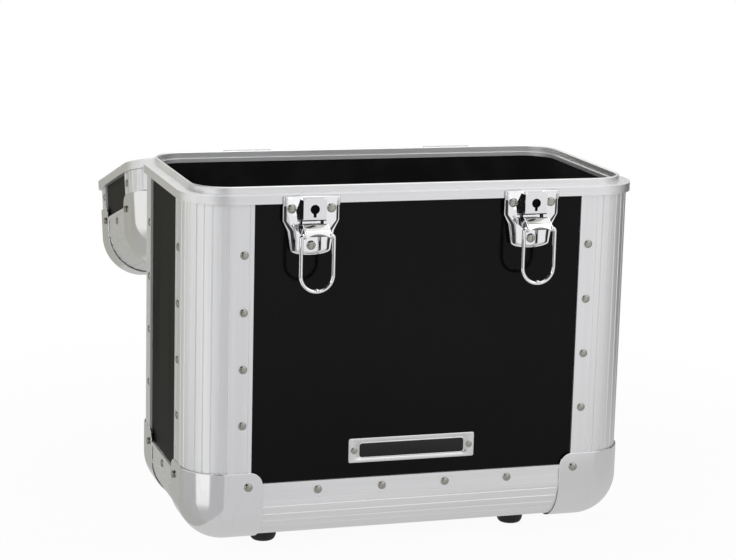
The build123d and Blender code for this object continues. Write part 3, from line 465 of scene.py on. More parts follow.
@dataclass(frozen=True)
class LinishedMetal:
    """Plated casting whose front alone was linished to a satin grain, with a painted shadow along its foot.
    """

    name: str
    colour: Colour
    polish: float
    satin: float
    foot: float

    def material(self) -> bpy.types.Material:
        """Build the material."""
        s = Shading(self.name)
        front = (0.0 - s.facing("Y")).above(0.85, 0.97)
        grain = s.noise(s.along(s.place(), (1.0, 0.0, 0.0), 0.03), 900.0, 3.0)
        tone = s.blend(front * grain * 0.5, self.colour, tinted(self.colour, 0.9))
        height = Num(s, s.node("ShaderNodeSeparateXYZ", None, {0: s.place()}).outputs["Z"])
        s.set(
            # Painted shadow: below the foot height the colour turns near black.
            Base_Color=s.blend(height.above(self.foot - 0.0002, self.foot), rgba(0.01, 0.01, 0.01), tone),
            Metallic=1.0,
            Roughness=self.polish + front * (self.satin + 0.06 * grain),
            Normal=s.bump(grain * front, 0.00001, 0.15),
        )
        return s.material


@dataclass(frozen=True)
class Brushed:
    """Sheet brushed in one direction."""

    name: str
    colour: Colour
    roughness: float
    axis: Point

    def material(self) -> bpy.types.Material:
        """Build the material."""
        s = Shading(self.name)
        place = s.place()
        hair = s.noise(s.along(place, self.axis, 0.008), 3200.0, 3.0)
        band = s.noise(s.along(place, self.axis, 0.02), 420.0, 2.0)
        cloud = s.noise(place, 30.0, 3.0)
        s.set(
            Base_Color=s.blend(hair.above(0.3, 0.7), tinted(self.colour, 0.86), tinted(self.colour, 1.06)),
            Metallic=1.0,
            Roughness=self.roughness + 0.12 * (band - 0.5) + 0.12 * (cloud - 0.5),
            Normal=s.bump(hair, 0.00003, 0.4),
        )
        return s.material


@dataclass(frozen=True)
class Moulded:
    """Moulded rubber or plastic with a fine grain."""

    name: str
    colour: Colour
    roughness: float
    grain: float

    def material(self) -> bpy.types.Material:
        """Build the material."""
        s = Shading(self.name)
        place = s.place()
        grain = s.cells(place, 1500.0, "SMOOTH_F1")
        cloud = s.noise(place, 40.0, 4.0)
        dust = s.noise(place, 130.0, 5.0).above(0.55, 0.8)
        s.set(
            Base_Color=s.blend(dust * 0.3, self.colour, rgba(0.07, 0.07, 0.066)),
            Roughness=self.roughness + 0.1 * (cloud - 0.5) + 0.08 * dust,
            Specular_IOR_Level=0.4,
            Normal=s.bump(grain, self.grain, 0.6),
        )
        return s.material


@dataclass(frozen=True)
class Flock:
    """Short black pile on the moulded liner."""

    name: str
    colour: Colour

    def material(self) -> bpy.types.Material:
        """Build the material."""
        s = Shading(self.name)
        place = s.place()
        pile = s.noise(place, 2600.0, 4.0)
        brushed = s.noise(place, 26.0, 4.0, 0.6)
        lint = (1.0 - s.cells(place, 170.0).above(0.02, 0.05)) * s.noise(place, 17.0).above(0.5, 0.65)
        tone = s.blend(brushed.above(0.35, 0.65), tinted(self.colour, 0.7), tinted(self.colour, 1.35))
        s.set(
            Base_Color=s.blend(lint * 0.5, tone, rgba(0.12, 0.12, 0.12)),
            Roughness=0.9 + 0.1 * (pile - 0.5),
            Specular_IOR_Level=0.15,
            Normal=s.bump(pile, 0.0004, 0.8),
        )
        return s.material


class Finishes:
    """The finishes of the case, each built once."""

    FRONT = Laminate("front laminate", rgba(0.0030, 0.0030, 0.0027), 0.07, 0.11)
    SIDE = Laminate("side laminate", rgba(0.0068, 0.0068, 0.0056), 0.32, 0.017)
    ENAMEL = Laminate("black enamel", rgba(0.0060, 0.0060, 0.0060), 0.12, 0.35)
    CORNER = PressedMetal("pressed corner", rgba(0.86, 0.86, 0.87), 0.11, 0.12, 0.0003)
    RIVET = PressedMetal("nickel rivet", rgba(0.40, 0.39, 0.355), 0.07, 0.05, 0.0)
    LATCH = PressedMetal("latch plating", rgba(0.92, 0.92, 0.93), 0.05, 0.05, 0.00005)
    # Latch plating with painted shade on faces turned sideways.
    LATCH_PAINTED_SIDES = PressedMetal("folded latch plating", rgba(0.92, 0.92, 0.93), 0.05, 0.05, 0.00005, 0.97)
    # Lock housing plating; its lowest strip is a painted shadow.
    SATIN = LinishedMetal("satin plating", rgba(0.88, 0.88, 0.89), 0.05, 0.24, 0.2862)
    SHADED = PressedMetal("shaded plating", rgba(0.46, 0.46, 0.45), 0.10, 0.05, 0.0001)
    # Painted shade: dark colour for the hollow under the lever's lip.
    LIP_HOLLOW_SHADE = PressedMetal("lever hollow in painted shade", rgba(0.24, 0.235, 0.22), 0.20, 0.10, 0.0001)
    # Painted shade: near-black colour for the lock cores seen through the keyholes.
    KEYHOLE_SHADE = Laminate("lock core in painted shade", rgba(0.002, 0.002, 0.002), 0.5, 0.1)
    ZINC = PressedMetal("zinc plating", rgba(0.62, 0.62, 0.63), 0.22, 0.14, 0.0001)
    PLATE = Brushed("nameplate metal", rgba(0.80, 0.80, 0.80), 0.28, (1.0, 0.0, 0.0))
    RUBBER = Moulded("foot rubber", rgba(0.012, 0.012, 0.012), 0.62, 0.00005)
    HANDLE = Moulded("handle plastic", rgba(0.014, 0.014, 0.014), 0.42, 0.00006)
    FLOCK = Flock("liner flock", rgba(0.0075, 0.0075, 0.0075))
    ALUMINIUM = rgba(0.86, 0.86, 0.865)

    def __init__(self) -> None:
        """Start with nothing built."""
        self.built: dict[str, bpy.types.Material] = {}

    def get(self, finish: Any) -> bpy.types.Material:
        """The material of a finish, built on first use.

        Args:
            finish: The finish.

        Returns:
            Its material.
        """
        if finish.name not in self.built:
            self.built[finish.name] = finish.material()
        return self.built[finish.name]

    def drawn(self, name: str, axis: Vector, roughness: float = 0.50) -> bpy.types.Material:
        """Satin aluminium whose lines run along an axis.

        Args:
            name: The material's name.
            axis: Direction of the lines.
            roughness: Mean roughness.

        Returns:
            The material.
        """
        return self.get(DrawnAluminium(name, self.ALUMINIUM, roughness, tuple(axis.normalized())))


# ------------------------------------------------------------------ shared helpers
def soften(piece: bpy.types.Object, width: float, segments: int = 2, angle: float = 28.0) -> None:
    """Round a piece's sharp edges and smooth its shading.

    Args:
        piece: The piece.
        width: Width of the rounding, in metres.
        segments: Faces across it.
        angle: Edges sharper than this many degrees are rounded.
    """
    bevel = piece.modifiers.new("edges", "BEVEL")
    bevel.width = width
    bevel.segments = segments
    bevel.limit_method = "ANGLE"
    bevel.angle_limit = math.radians(angle)
    bevel.harden_normals = False
    bevel.use_clamp_overlap = True


def dress(piece: bpy.types.Object, material: bpy.types.Material) -> None:
    """Give every slot of a piece one material.

    Args:
        piece: The piece.
        material: The material.
    """
    if not piece.material_slots:
        piece.data.materials.append(material)
    for entry in piece.material_slots:
        entry.material = material


Loop = list[Vector]


class Skin:
    """A mesh built from closed or open rows of points that are joined by quads."""

    def __init__(self) -> None:
        """Start empty."""
        self.points: list[Vector] = []
        self.faces: list[tuple[int, ...]] = []

    def row(self, points: Iterable[Vector]) -> list[int]:
        """Add a row of points.

        Args:
            points: The points.

        Returns:
            Their numbers in the mesh.
        """
        start = len(self.points)
        self.points.extend(points)
        return list(range(start, len(self.points)))

    def span(self, first: list[int], second: list[int], closed: bool = True) -> None:
        """Join two rows of the same length by quads.

        Args:
            first: Numbers of the first row.
            second: Numbers of the second row.
            closed: Whether the rows run round.
        """
        count = len(first)
        for index in range(count if closed else count - 1):
            after = (index + 1) % count
            self.faces.append((first[index], first[after], second[after], second[index]))

    def cap(self, row: list[int], flip: bool = False) -> None:
        """Close a row with one face.

        Args:
            row: Numbers of the row.
            flip: Whether the face looks the other way.
        """
        self.faces.append(tuple(reversed(row)) if flip else tuple(row))

    def tube(self, rows: Sequence[Loop], caps: bool = True) -> None:
        """Add closed rows, join each to the next and close both ends.

        Args:
            rows: The rows, in order.
            caps: Whether the ends are closed.
        """
        numbers = [self.row(points) for points in rows]
        for first, second in zip(numbers, numbers[1:]):
            self.span(first, second)
        if caps:
            self.cap(numbers[0], flip=True)
            self.cap(numbers[-1])

    def piece(self, name: str, smooth: bool = True) -> bpy.types.Object:
        """Turn the rows into an object with outward faces.

        Args:
            name: The object's name.
            smooth: Whether it shades smoothly.

        Returns:
            The object.
        """
        mesh = bpy.data.meshes.new(name)
        mesh.from_pydata([tuple(point) for point in self.points], [], self.faces)
        shape = bmesh.new()
        shape.from_mesh(mesh)
        bmesh.ops.remove_doubles(shape, verts=shape.verts, dist=1e-6)
        bmesh.ops.recalc_face_normals(shape, faces=shape.faces)
        shape.to_mesh(mesh)
        shape.free()
        for face in mesh.polygons:
            face.use_smooth = smooth
        item = bpy.data.objects.new(name, mesh)
        bpy.context.scene.collection.objects.link(item)
        return item


def circle(centre: Vector, side: Vector, up: Vector, radius: float, count: int) -> Loop:
    """Points round a circle.

    Args:
        centre: Its centre.
        side: Unit vector towards the first point.
        up: Unit vector a quarter turn on.
        radius: Its radius.
        count: How many points.

    Returns:
        The points.
    """
    turns = [2 * math.pi * index / count for index in range(count)]
    return [centre + side * (radius * math.cos(turn)) + up * (radius * math.sin(turn)) for turn in turns]


def lathe(skin: Skin, centre: Vector, axis: Vector, profile: Profile, count: int) -> None:
    """Add a turned form to a skin.

    Args:
        skin: The skin.
        centre: Where the axis starts.
        axis: Unit vector along the axis.
        profile: Radius and height of each ring, from the foot upwards.
        count: Points in a ring.
    """
    side = axis.orthogonal().normalized()
    up = axis.cross(side)
    skin.tube([circle(centre + axis * height, side, up, radius, count) for radius, height in profile])


def islands(piece: bpy.types.Object) -> list[Loop]:
    """Corner points of each separate solid in a CAD node, in the node's own order.

    Args:
        piece: The node's object.

    Returns:
        One list of points per solid.
    """
    shape = bmesh.new()
    shape.from_mesh(piece.data)
    bmesh.ops.remove_doubles(shape, verts=shape.verts, dist=1e-6)
    seen: set[int] = set()
    groups: list[Loop] = []
    for start in shape.verts:
        if start.index in seen:
            continue
        seen.add(start.index)
        group = [start]
        for vert in group:
            for edge in vert.link_edges:
                other = edge.other_vert(vert)
                if other.index not in seen:
                    seen.add(other.index)
                    group.append(other)
        groups.append([vert.co.copy() for vert in group])
    shape.free()
    return groups


def middle(points: Loop) -> Vector:
    """Mean of some points."""
    return sum(points, Vector()) / len(points)


@dataclass
class Assembly:
    """What every sub-assembly shares: the frame and the finishes."""

    frame: dict[str, Any]
    finishes: Finishes

    def cad(self, name: str) -> bpy.types.Object:
        """A CAD node's object.

        Args:
            name: The node.

        Returns:
            The object.
        """
        return self.frame["nodes"][name]

    def joint(self, name: str) -> Vector:
        """Where a joint's axis passes.

        Args:
            name: The joint.

        Returns:
            The point.
        """
        return next(Vector(entry["pos_m"]) for entry in self.frame["joints"] if entry["name"] == name)

    def mount(
        self,
        piece: bpy.types.Object,
        finish: Any,
        body: str,
        stands_for: Sequence[str] = (),
    ) -> None:
        """Dress a new piece, let it ride on a body and let it stand for CAD nodes.

        Args:
            piece: The piece.
            finish: Its finish.
            body: The body it rides on.
            stands_for: The CAD nodes that it replaces.
        """
        dress(piece, self.finishes.get(finish))
        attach(piece, body)
        if stands_for:
            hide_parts(*stands_for)
        log.info("built %s on %s", piece.name, body)

    def paint(self, names: Iterable[str], finish: Any, edge: float = 0.0) -> None:
        """Dress CAD nodes in one finish.

        Args:
            names: The nodes.
            finish: Their finish, or a finished material.
            edge: Width of the rounding on their edges, in metres.
        """
        material = finish if isinstance(finish, bpy.types.Material) else self.finishes.get(finish)
        for name in names:
            piece = self.cad(name)
            dress(piece, material)
            if edge:
                soften(piece, edge)
            log.info("dressed %s in %s", name, material.name)


# ------------------------------------------------------------------ sub-assemblies
@dataclass
class Panels(Assembly):
    """Plywood walls of the body and the lid."""

    def build(self) -> None:
        """Dress the long and the short walls."""
        self.paint(["front_panel", "rear_panel", "lid_front_panel", "lid_rear_panel"], Finishes.FRONT)
        ends = ["left_panel", "right_panel", "base_panel"]
        ends += ["lid_left_panel", "lid_right_panel", "lid_top_panel"]
        self.paint(ends, Finishes.SIDE)


@dataclass
class Extrusions(Assembly):
    """Ribbed corner and edge extrusions and the two rims."""

    lean: float

    def build(self) -> None:
        """Dress each extrusion with lines along its own length."""
        lid_up = Vector((0.0, math.sin(self.lean), -math.cos(self.lean)))
        lid_rear = Vector((0.0, math.cos(self.lean), math.sin(self.lean)))
        along = {
            "upright": (Vector((0.0, 0.0, 1.0)), [f"corner_extrusion_{c}" for c in self.corners()]),
            "long": (Vector((1.0, 0.0, 0.0)), ["base_extrusion_front", "base_extrusion_rear"]),
            "short": (Vector((0.0, 1.0, 0.0)), ["base_extrusion_left", "base_extrusion_right"]),
            "lid upright": (lid_up, [f"lid_corner_extrusion_{c}" for c in self.corners()]),
            "lid long": (Vector((1.0, 0.0, 0.0)), ["lid_edge_extrusion_front", "lid_edge_extrusion_rear"]),
            "lid short": (lid_rear, ["lid_edge_extrusion_left", "lid_edge_extrusion_right"]),
        }
        for name, (axis, nodes) in along.items():
            self.paint(nodes, self.finishes.drawn(f"{name} extrusion", axis))
        rim = self.finishes.drawn("rim extrusion", Vector((1.0, 0.0, 0.0)), 0.44)
        self.paint(["body_rim", "lid_rim"], rim, 0.0003)

    @staticmethod
    def corners() -> list[str]:
        """Names of the four corners."""
        return [f"{end}_{side}" for end in ("front", "rear") for side in ("left", "right")]


@dataclass
class RivetHeads(Assembly):
    """Domed rivet heads in place of the plain ones of the frame."""

    count: int = 20
    sunk: float = 0.00075
    dome: Profile = (
        (0.90, 0.0),
        (1.0, 0.10),
        (1.03, 0.22),
        (1.0, 0.38),
        (0.90, 0.60),
        (0.72, 0.79),
        (0.46, 0.93),
        (0.16, 1.0),
    )

    def build(self) -> None:
        """Turn one head for every plain rivet of each node."""
        wide = {"body_rivets": 1.08, "latch_rivets": 1.2, "nameplate_rivets": 1.0, "lid_rivets": 1.08}
        for node, growth in wide.items():
            skin = Skin()
            for points in islands(self.cad(node)):
                self.head(skin, points, growth)
            body = "lid" if node == "lid_rivets" else "body"
            self.mount(skin.piece(f"{node}_domed"), Finishes.RIVET, body, [node])

    def head(self, skin: Skin, points: Loop, growth: float) -> None:
        """Add a head on the seat of a plain rivet.

        Args:
            skin: The skin it is added to.
            points: The plain rivet's corners.
            growth: How much wider it is than the plain one.
        """
        centre = middle(points)
        reach = sum((point - centre).length for point in points) / len(points)
        seat = middle([point for point in points if (point - centre).length > reach])
        crown = middle([point for point in points if (point - centre).length <= reach])
        radius = max((point - seat).length for point in points) * growth
        rise = (crown - seat).length
        axis = (crown - seat).normalized()
        profile = [(radius * self.dome[0][0], -self.sunk)]
        profile += [(radius * share, rise * height * growth) for share, height in self.dome]
        lathe(skin, seat, axis, profile, self.count)


@dataclass
class BallCorners(Assembly):
    """Pressed corners: rounded blocks with a lobe on each face, drawn down between the extrusions."""

    radius: float = 0.036
    proud: float = 0.0015
    sheet: float = 0.0008
    reach: float = 0.0615
    lobe: float = 0.0110
    sink: float = 0.0006
    soft: float = 0.00008
    curve_steps: int = 26
    flat_steps: int = 10
    lobe_steps: int = 12

    def build(self) -> None:
        """Press the four corners of the body and of the lid."""
        low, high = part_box("body_ball_corners")
        places = []
        for x, y in ((low[0], low[1]), (high[0], low[1]), (high[0], high[1]), (low[0], high[1])):
            turn = Matrix.Diagonal((1.0 if x == low[0] else -1.0, 1.0 if y == low[1] else -1.0, 1.0))
            places.append(Matrix.Translation((x, y, low[2])) @ turn.to_4x4())
        body = self.pressed("body_corners_pressed", places)
        self.mount(body, Finishes.CORNER, "body", ["body_ball_corners"])
        self.mount(self.lid_corners(), Finishes.CORNER, "lid", ["lid_ball_corners"])

    def lid_corners(self) -> bpy.types.Object:
        """Press the lid's corners in the lid's own frame, which leans back about the hinge.

        Returns:
            The corners.
        """
        hinge = self.joint("lid_hinge")
        joints = {joint["name"]: joint for joint in self.frame["joints"]}
        angle = joints["lid_hinge"]["range_deg"][1]
        turn = Matrix.Rotation(-math.radians(angle), 4, "X")
        swing = Matrix.Translation(hinge) @ turn @ Matrix.Translation(-hinge)
        back = swing.inverted()
        points = [back @ point for group in islands(self.cad("lid_ball_corners")) for point in group]
        low = Vector([min(point[axis] for point in points) for axis in range(3)])
        high = Vector([max(point[axis] for point in points) for axis in range(3)])
        places = []
        for x, y in ((low.x, low.y), (high.x, low.y), (high.x, high.y), (low.x, high.y)):
            turn = Matrix.Diagonal((1.0 if x == low.x else -1.0, 1.0 if y == low.y else -1.0, -1.0))
            places.append(swing @ Matrix.Translation((x, y, high.z)) @ turn.to_4x4())
        return self.pressed("lid_corners_pressed", places)

    def pressed(self, name: str, places: Sequence[Matrix]) -> bpy.types.Object:
        """Press corners and put them together.

        Args:
            name: Name of the object.
            places: Where the outermost corner of each bounding box sits.

        Returns:
            The object.
        """
        skin = Skin()
        values = self.lines()
        for place in places:
            for order in ((0, 1, 2), (1, 2, 0), (2, 0, 1)):
                rows = []
                for across in values:
                    rows.append(skin.row([place @ self.point(across, along, order) for along in values]))
                for first, second in zip(rows, rows[1:]):
                    skin.span(first, second, closed=False)
        item = skin.piece(name)
        wall = item.modifiers.new("sheet", "SOLIDIFY")
        wall.thickness = self.sheet
        wall.offset = -1.0
        soften(item, 0.0003, 2, 50.0)
        return item

    def lines(self) -> list[float]:
        """Where the grid's lines cross a face, from the rounded edge outwards.

        Returns:
            Distances from the outer corner; the rounded part comes first.
        """
        turns = [math.pi / 4 * (1 - index / self.curve_steps) for index in range(self.curve_steps)]
        rounded = [self.radius * (1 - math.tan(turn)) for turn in turns]
        start = self.reach - self.lobe
        step = (start - self.radius) / self.flat_steps
        flat = [self.radius + step * index for index in range(self.flat_steps)]
        lobe = [start + self.lobe * index / self.lobe_steps for index in range(self.lobe_steps + 1)]
        return rounded + flat + lobe

    def point(self, across: float, along: float, order: tuple[int, int, int]) -> Vector:
        """A point of a pressed corner.

        Args:
            across: First distance from the outer corner.
            along: Second distance from the outer corner.
            order: Which axes the two distances and the face's own axis are.

        Returns:
            The point, measured from the corner of the bounding box.
        """
        start = self.reach - self.lobe
        if across > start and along > start:
            a, b = (across - start) / self.lobe, (along - start) / self.lobe
            across = start + self.lobe * a * math.sqrt(1 - b * b / 2)
            along = start + self.lobe * b * math.sqrt(1 - a * a / 2)
        spot = Vector((across, along, 0.0))
        core = Vector((max(across, self.radius), max(along, self.radius), self.radius))
        normal = (spot - core).normalized()
        flat = core + normal * (self.radius + self.proud) + Vector((self.proud, self.proud, self.proud))
        flat.z = self.pressed_in(flat.z)
        placed = Vector()
        for axis, value in zip(order, flat):
            placed[axis] = value
        return placed

    def pressed_in(self, depth: float) -> float:
        """Depth below the outermost plane, limited to the flat wing's with a soft crease."""
        over = (depth - self.sink) / self.soft
        return depth + self.soft * math.log1p(math.exp(-over)) if over > -30 else self.sink


@dataclass
class WireLoops(Assembly):
    """Bent wire loops with the pressed bump that centres them on the catches."""

    wire: float = 0.0016
    half_width: float = 0.0133
    reach: float = 0.0449
    bend: float = 0.0022
    end: float = 0.0096
    bump: Profile = (
        (0.0027, -0.0006),
        (0.0026, 0.0003),
        (0.0022, 0.0010),
        (0.0014, 0.0015),
        (0.0004, 0.0017),
    )
    count: int = 16

    def build(self) -> None:
        """Bend both loops."""
        for side in ("left", "right"):
            pivot = self.joint(f"loop_swing_{side}")
            skin = Skin()
            path = self.path()
            rows = []
            for index, (x, z) in enumerate(path):
                before, after = path[max(index - 1, 0)], path[min(index + 1, len(path) - 1)]
                along = Vector((after[0] - before[0], 0.0, after[1] - before[1])).normalized()
                rear = Vector((0.0, 1.0, 0.0))
                centre = pivot + Vector((x, 0.0, z))
                rows.append(circle(centre, along.cross(rear), rear, self.wire, self.count))
            skin.tube(rows)
            top = pivot + Vector((0.0, 0.0, self.wire * 0.6 - self.reach))
            lathe(skin, top, Vector((0.0, 0.0, 1.0)), self.bump, self.count)
            piece = skin.piece(f"wire_loop_{side}")
            self.mount(piece, Finishes.LATCH, f"loop_{side}", [f"latch_loop_{side}"])

    def path(self) -> list[tuple[float, float]]:
        """The wire's line, from one bush round to the other.

        Returns:
            X and Z from the pivot.
        """
        half, bend = self.half_width, self.bend
        left = [(-self.end, 0.0)]
        quarter = self.turns(0, 90, 6)
        left += [(bend - half - bend * math.sin(turn), bend * math.cos(turn) - bend) for turn in quarter]
        low = half - self.reach
        left += [(-half, -bend + (low + bend) * share) for share in (0.34, 0.67)]
        arc = [(-half * math.cos(turn), low - half * math.sin(turn)) for turn in self.turns(0, 180, 36)]
        return left + arc + [(-x, z) for x, z in reversed(left)]

    @staticmethod
    def turns(start: float, stop: float, steps: int) -> list[float]:
        """Angles in equal steps.

        Args:
            start: First angle, in degrees.
            stop: Last angle, in degrees.
            steps: How many steps.

        Returns:
            The angles, in radians.
        """
        return [math.radians(start + (stop - start) * index / steps) for index in range(steps + 1)]


@dataclass
class LatchPlates(Assembly):
    """Latch plates whose middle stands proud of a drawn-in border that widens below the waist; their
    sideways faces carry painted shade.
    """

    face: float = 0.0043
    back: float = -0.0015
    over_rim: float = 0.0028
    rim_drop: float = 0.0074
    chin: float = 0.0060
    steps: Profile = (
        (0.0, 0.70),
        (0.0002, 0.74),
        (0.0005, 0.75),
        (0.0009, 0.75),
        (0.0012, 0.77),
        (0.0016, 0.83),
        (0.0022, 0.92),
        (0.0029, 0.98),
        (0.0037, 1.0),
    )

    def build(self) -> None:
        """Press both plates."""
        for side in ("left", "right"):
            low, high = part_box(f"latch_plate_{side}")
            centre = (low[0] + high[0]) / 2
            wall = low[1] + self.face
            outline = self.outline((high[0] - low[0]) / 2, high[2], low[2])
            rows = []
            for draw, rise in ((0.0, 0.0), *self.steps):
                row = []
                for x, z, width in outline:
                    lowest = self.over_rim if z > high[2] - self.rim_drop else self.back
                    x, z = self.drawn_in(x, z, draw * width, low[2] + 0.092 * (high[2] - low[2]))
                    row.append(Vector((centre + x, wall - lowest - (self.face - lowest) * rise, z)))
                rows.append(row)
            skin = Skin()
            skin.tube(rows)
            piece = skin.piece(f"pressed_latch_plate_{side}")
            self.mount(piece, Finishes.LATCH_PAINTED_SIDES, "body", [f"latch_plate_{side}"])

    def drawn_in(self, x: float, z: float, draw: float, heel: float) -> tuple[float, float]:
        """Draw a point of the outline in: level at the sides, towards the middle round the chin.

        Args:
            x: Its distance from the middle.
            z: Its height.
            draw: How far it is drawn in.
            heel: Height at which the chin starts.

        Returns:
            The new place.
        """
        if z > heel - 1e-5:
            return x - math.copysign(draw, x), z
        spot = Vector((x, z))
        spot += (Vector((0.0, heel + self.chin)) - spot).normalized() * draw
        return spot.x, spot.y

    @staticmethod
    def outline(half: float, top: float, foot: float) -> list[tuple[float, float, float]]:
        """The plate's outline, anticlockwise as seen from the front.

        Args:
            half: Half its greatest width.
            top: Height of its top edge.
            foot: Height of its lowest point.

        Returns:
            X from the middle, Z, and how wide the border is there.
        """
        tall = top - foot
        shoulder, waist, heel = top - 0.412 * tall, top - 0.586 * tall, top - 0.909 * tall
        right = [(half * 0.718, heel, 1.5), (half * 0.774, heel + 0.5 * (waist - heel), 1.9)]
        right += [(half * 0.829, waist, 2.0), (half * 0.915, (waist + shoulder) / 2, 1.5)]
        right.append((half, shoulder, 1.0))
        right += [(half, top - 0.0075, 1.0), (half, top - 0.0073, 1.0), (half, top - 0.0006, 1.0)]
        right.append((half - 0.0006, top, 1.0))
        chin = []
        for index in range(1, 16):
            turn = math.pi * (0.5 - index / 16)
            across = -math.sin(turn)
            rise = (heel - foot) * (1 - math.cos(turn))
            chin.append((half * 0.718 * across, foot + rise, 0.7 + 0.8 * abs(across)))
        return chin + right + [(-x, z, width) for x, z, width in reversed(right)]


@dataclass
class LatchLevers(Assembly):
    """Sheet levers with an arced finger lip, a deck and an inner face darkened with painted shade, and two
    cheeks.
    """

    half: float = 0.00965
    cheek: float = 0.0010
    loop_out: float = 0.01385
    loop_up: float = -0.00257
    arc: float = 0.0029
    top: Profile = (
        (0.0060, 0.0051),
        (0.0078, 0.0044),
        (0.0108, 0.0026),
        (0.0132, 0.0010),
        (0.0139, 0.0005),
        (0.0144, -0.0002),
    )
    lip: tuple[float, float] = (0.0160, -0.0043)
    under: Profile = (
        (0.0142, -0.0006),
        (0.0149, -0.0013),
        (0.0152, -0.0020),
        (0.0151, -0.0026),
        (0.0146, -0.0029),
        (0.0136, -0.0028),
        (0.0120, -0.0022),
    )

    def build(self) -> None:
        """Build both levers and their eyelets."""
        for side in ("left", "right"):
            pivot = self.joint(f"lever_hinge_{side}")
            body = f"lever_{side}"
            shell = self.sheet(pivot, self.band, 0.0009, f"lever_lip_{side}")
            self.mount(shell, Finishes.LATCH, body, [f"latch_lever_{side}"])
            self.mount(self.sheet(pivot, self.deck, 0.0007, f"lever_deck_{side}"), Finishes.SHADED, body)
            inner = self.sheet(pivot, self.inside, 0.0006, f"lever_inner_{side}")
            self.mount(inner, Finishes.LIP_HOLLOW_SHADE, body)
            self.mount(self.cheeks(pivot, f"lever_cheeks_{side}"), Finishes.LATCH, body)
            rings = self.eyelets(self.joint(f"loop_swing_{side}"), f"loop_eyelets_{side}")
            self.mount(rings, Finishes.LATCH, f"bushes_{side}", [f"loop_bushes_{side}"])

    def deck(self, share: float) -> list[tuple[float, float]]:
        """Profile of the deck behind the lip, hollowed a little in the middle."""
        hollow = 0.0005 * (1 - share * share)
        return [(out, up - hollow * min(1.0, index)) for index, (out, up) in enumerate(self.top[:4])]

    def band(self, share: float) -> list[tuple[float, float]]:
        """Profile of the lip at a place across the lever.

        Args:
            share: Place across, from -1 to 1.

        Returns:
            Distance out and up from the pivot.
        """
        out, up = self.top[-1]
        stop = self.lip[1] + self.arc * (1 - share * share)
        slope = (self.lip[0] - out) / (up - self.lip[1])
        drops = [(up - stop) * step / 5 for step in range(1, 6)]
        return list(self.top[3:]) + [(out + slope * drop, up - drop) for drop in drops]

    def inside(self, share: float) -> list[tuple[float, float]]:
        """Profile of the hollow below the lip, deepest in the middle."""
        bulge = 1 - share * share
        return [(out, up - 0.0004 * bulge * index / 6) for index, (out, up) in enumerate(self.under)]

    def sheet(
        self,
        pivot: Vector,
        profile: Callable[[float], list[tuple[float, float]]],
        thick: float,
        name: str,
    ) -> bpy.types.Object:
        """Sweep a profile across the lever.

        Args:
            pivot: The lever's pivot.
            profile: Gives the profile at a place from -1 to 1.
            thick: Thickness of the sheet.
            name: Name of the piece.

        Returns:
            The piece.
        """
        skin = Skin()
        rows = []
        for column in range(25):
            share = column / 12 - 1
            places = [Vector((share * self.half, -out, up)) for out, up in profile(share)]
            rows.append(skin.row([pivot + place for place in places]))
        for first, second in zip(rows, rows[1:]):
            skin.span(first, second, closed=False)
        piece = skin.piece(name)
        wall = piece.modifiers.new("sheet", "SOLIDIFY")
        wall.thickness = thick
        wall.offset = 0.0
        soften(piece, 0.0002, 2, 50.0)
        return piece

    def cheeks(self, pivot: Vector, name: str) -> bpy.types.Object:
        """Cut the two side plates that carry the pivot pin and the loop.

        Args:
            pivot: The lever's pivot.
            name: Name of the piece.

        Returns:
            The piece.
        """
        spots = [*self.top[:1], *self.top[3:], (self.lip[0] - 0.0004, self.lip[1] + 0.0006)]
        for centre, radius in (((0.0, 0.0), 0.0034), ((self.loop_out, self.loop_up), 0.0026)):
            for index in range(24):
                turn = math.pi * index / 12
                spots.append((centre[0] + radius * math.cos(turn), centre[1] + radius * math.sin(turn)))
        hull = [Vector(spots[index]) for index in mathutils.geometry.convex_hull_2d(spots)]
        skin = Skin()
        for side in (-1, 1):
            places = (side * self.half, side * (self.half + self.cheek))
            skin.tube([[pivot + Vector((x, -spot.x, spot.y)) for spot in hull] for x in places])
        piece = skin.piece(name, smooth=False)
        soften(piece, 0.0002, 2, 40.0)
        return piece

    def eyelets(self, pivot: Vector, name: str) -> bpy.types.Object:
        """Turn the eyelets in which the loop's ends sit.

        Args:
            pivot: The loop's pivot.
            name: Name of the piece.

        Returns:
            The piece.
        """
        skin = Skin()
        start = self.half + self.cheek
        profile = [(0.00185, 0.0), (0.0026, 0.0), (0.0027, 0.00012), (0.0026, 0.0004), (0.0022, 0.0006)]
        profile.append((0.00185, 0.0006))
        for side in (-1.0, 1.0):
            axis = Vector((side, 0.0, 0.0))
            up = Vector((0.0, 0.0, 1.0))
            rings = []
            for radius, along in profile:
                rings.append(circle(pivot + axis * (start + along), up, axis.cross(up), radius, 24))
            skin.tube([*rings, rings[0]], caps=False)
        return skin.piece(name)


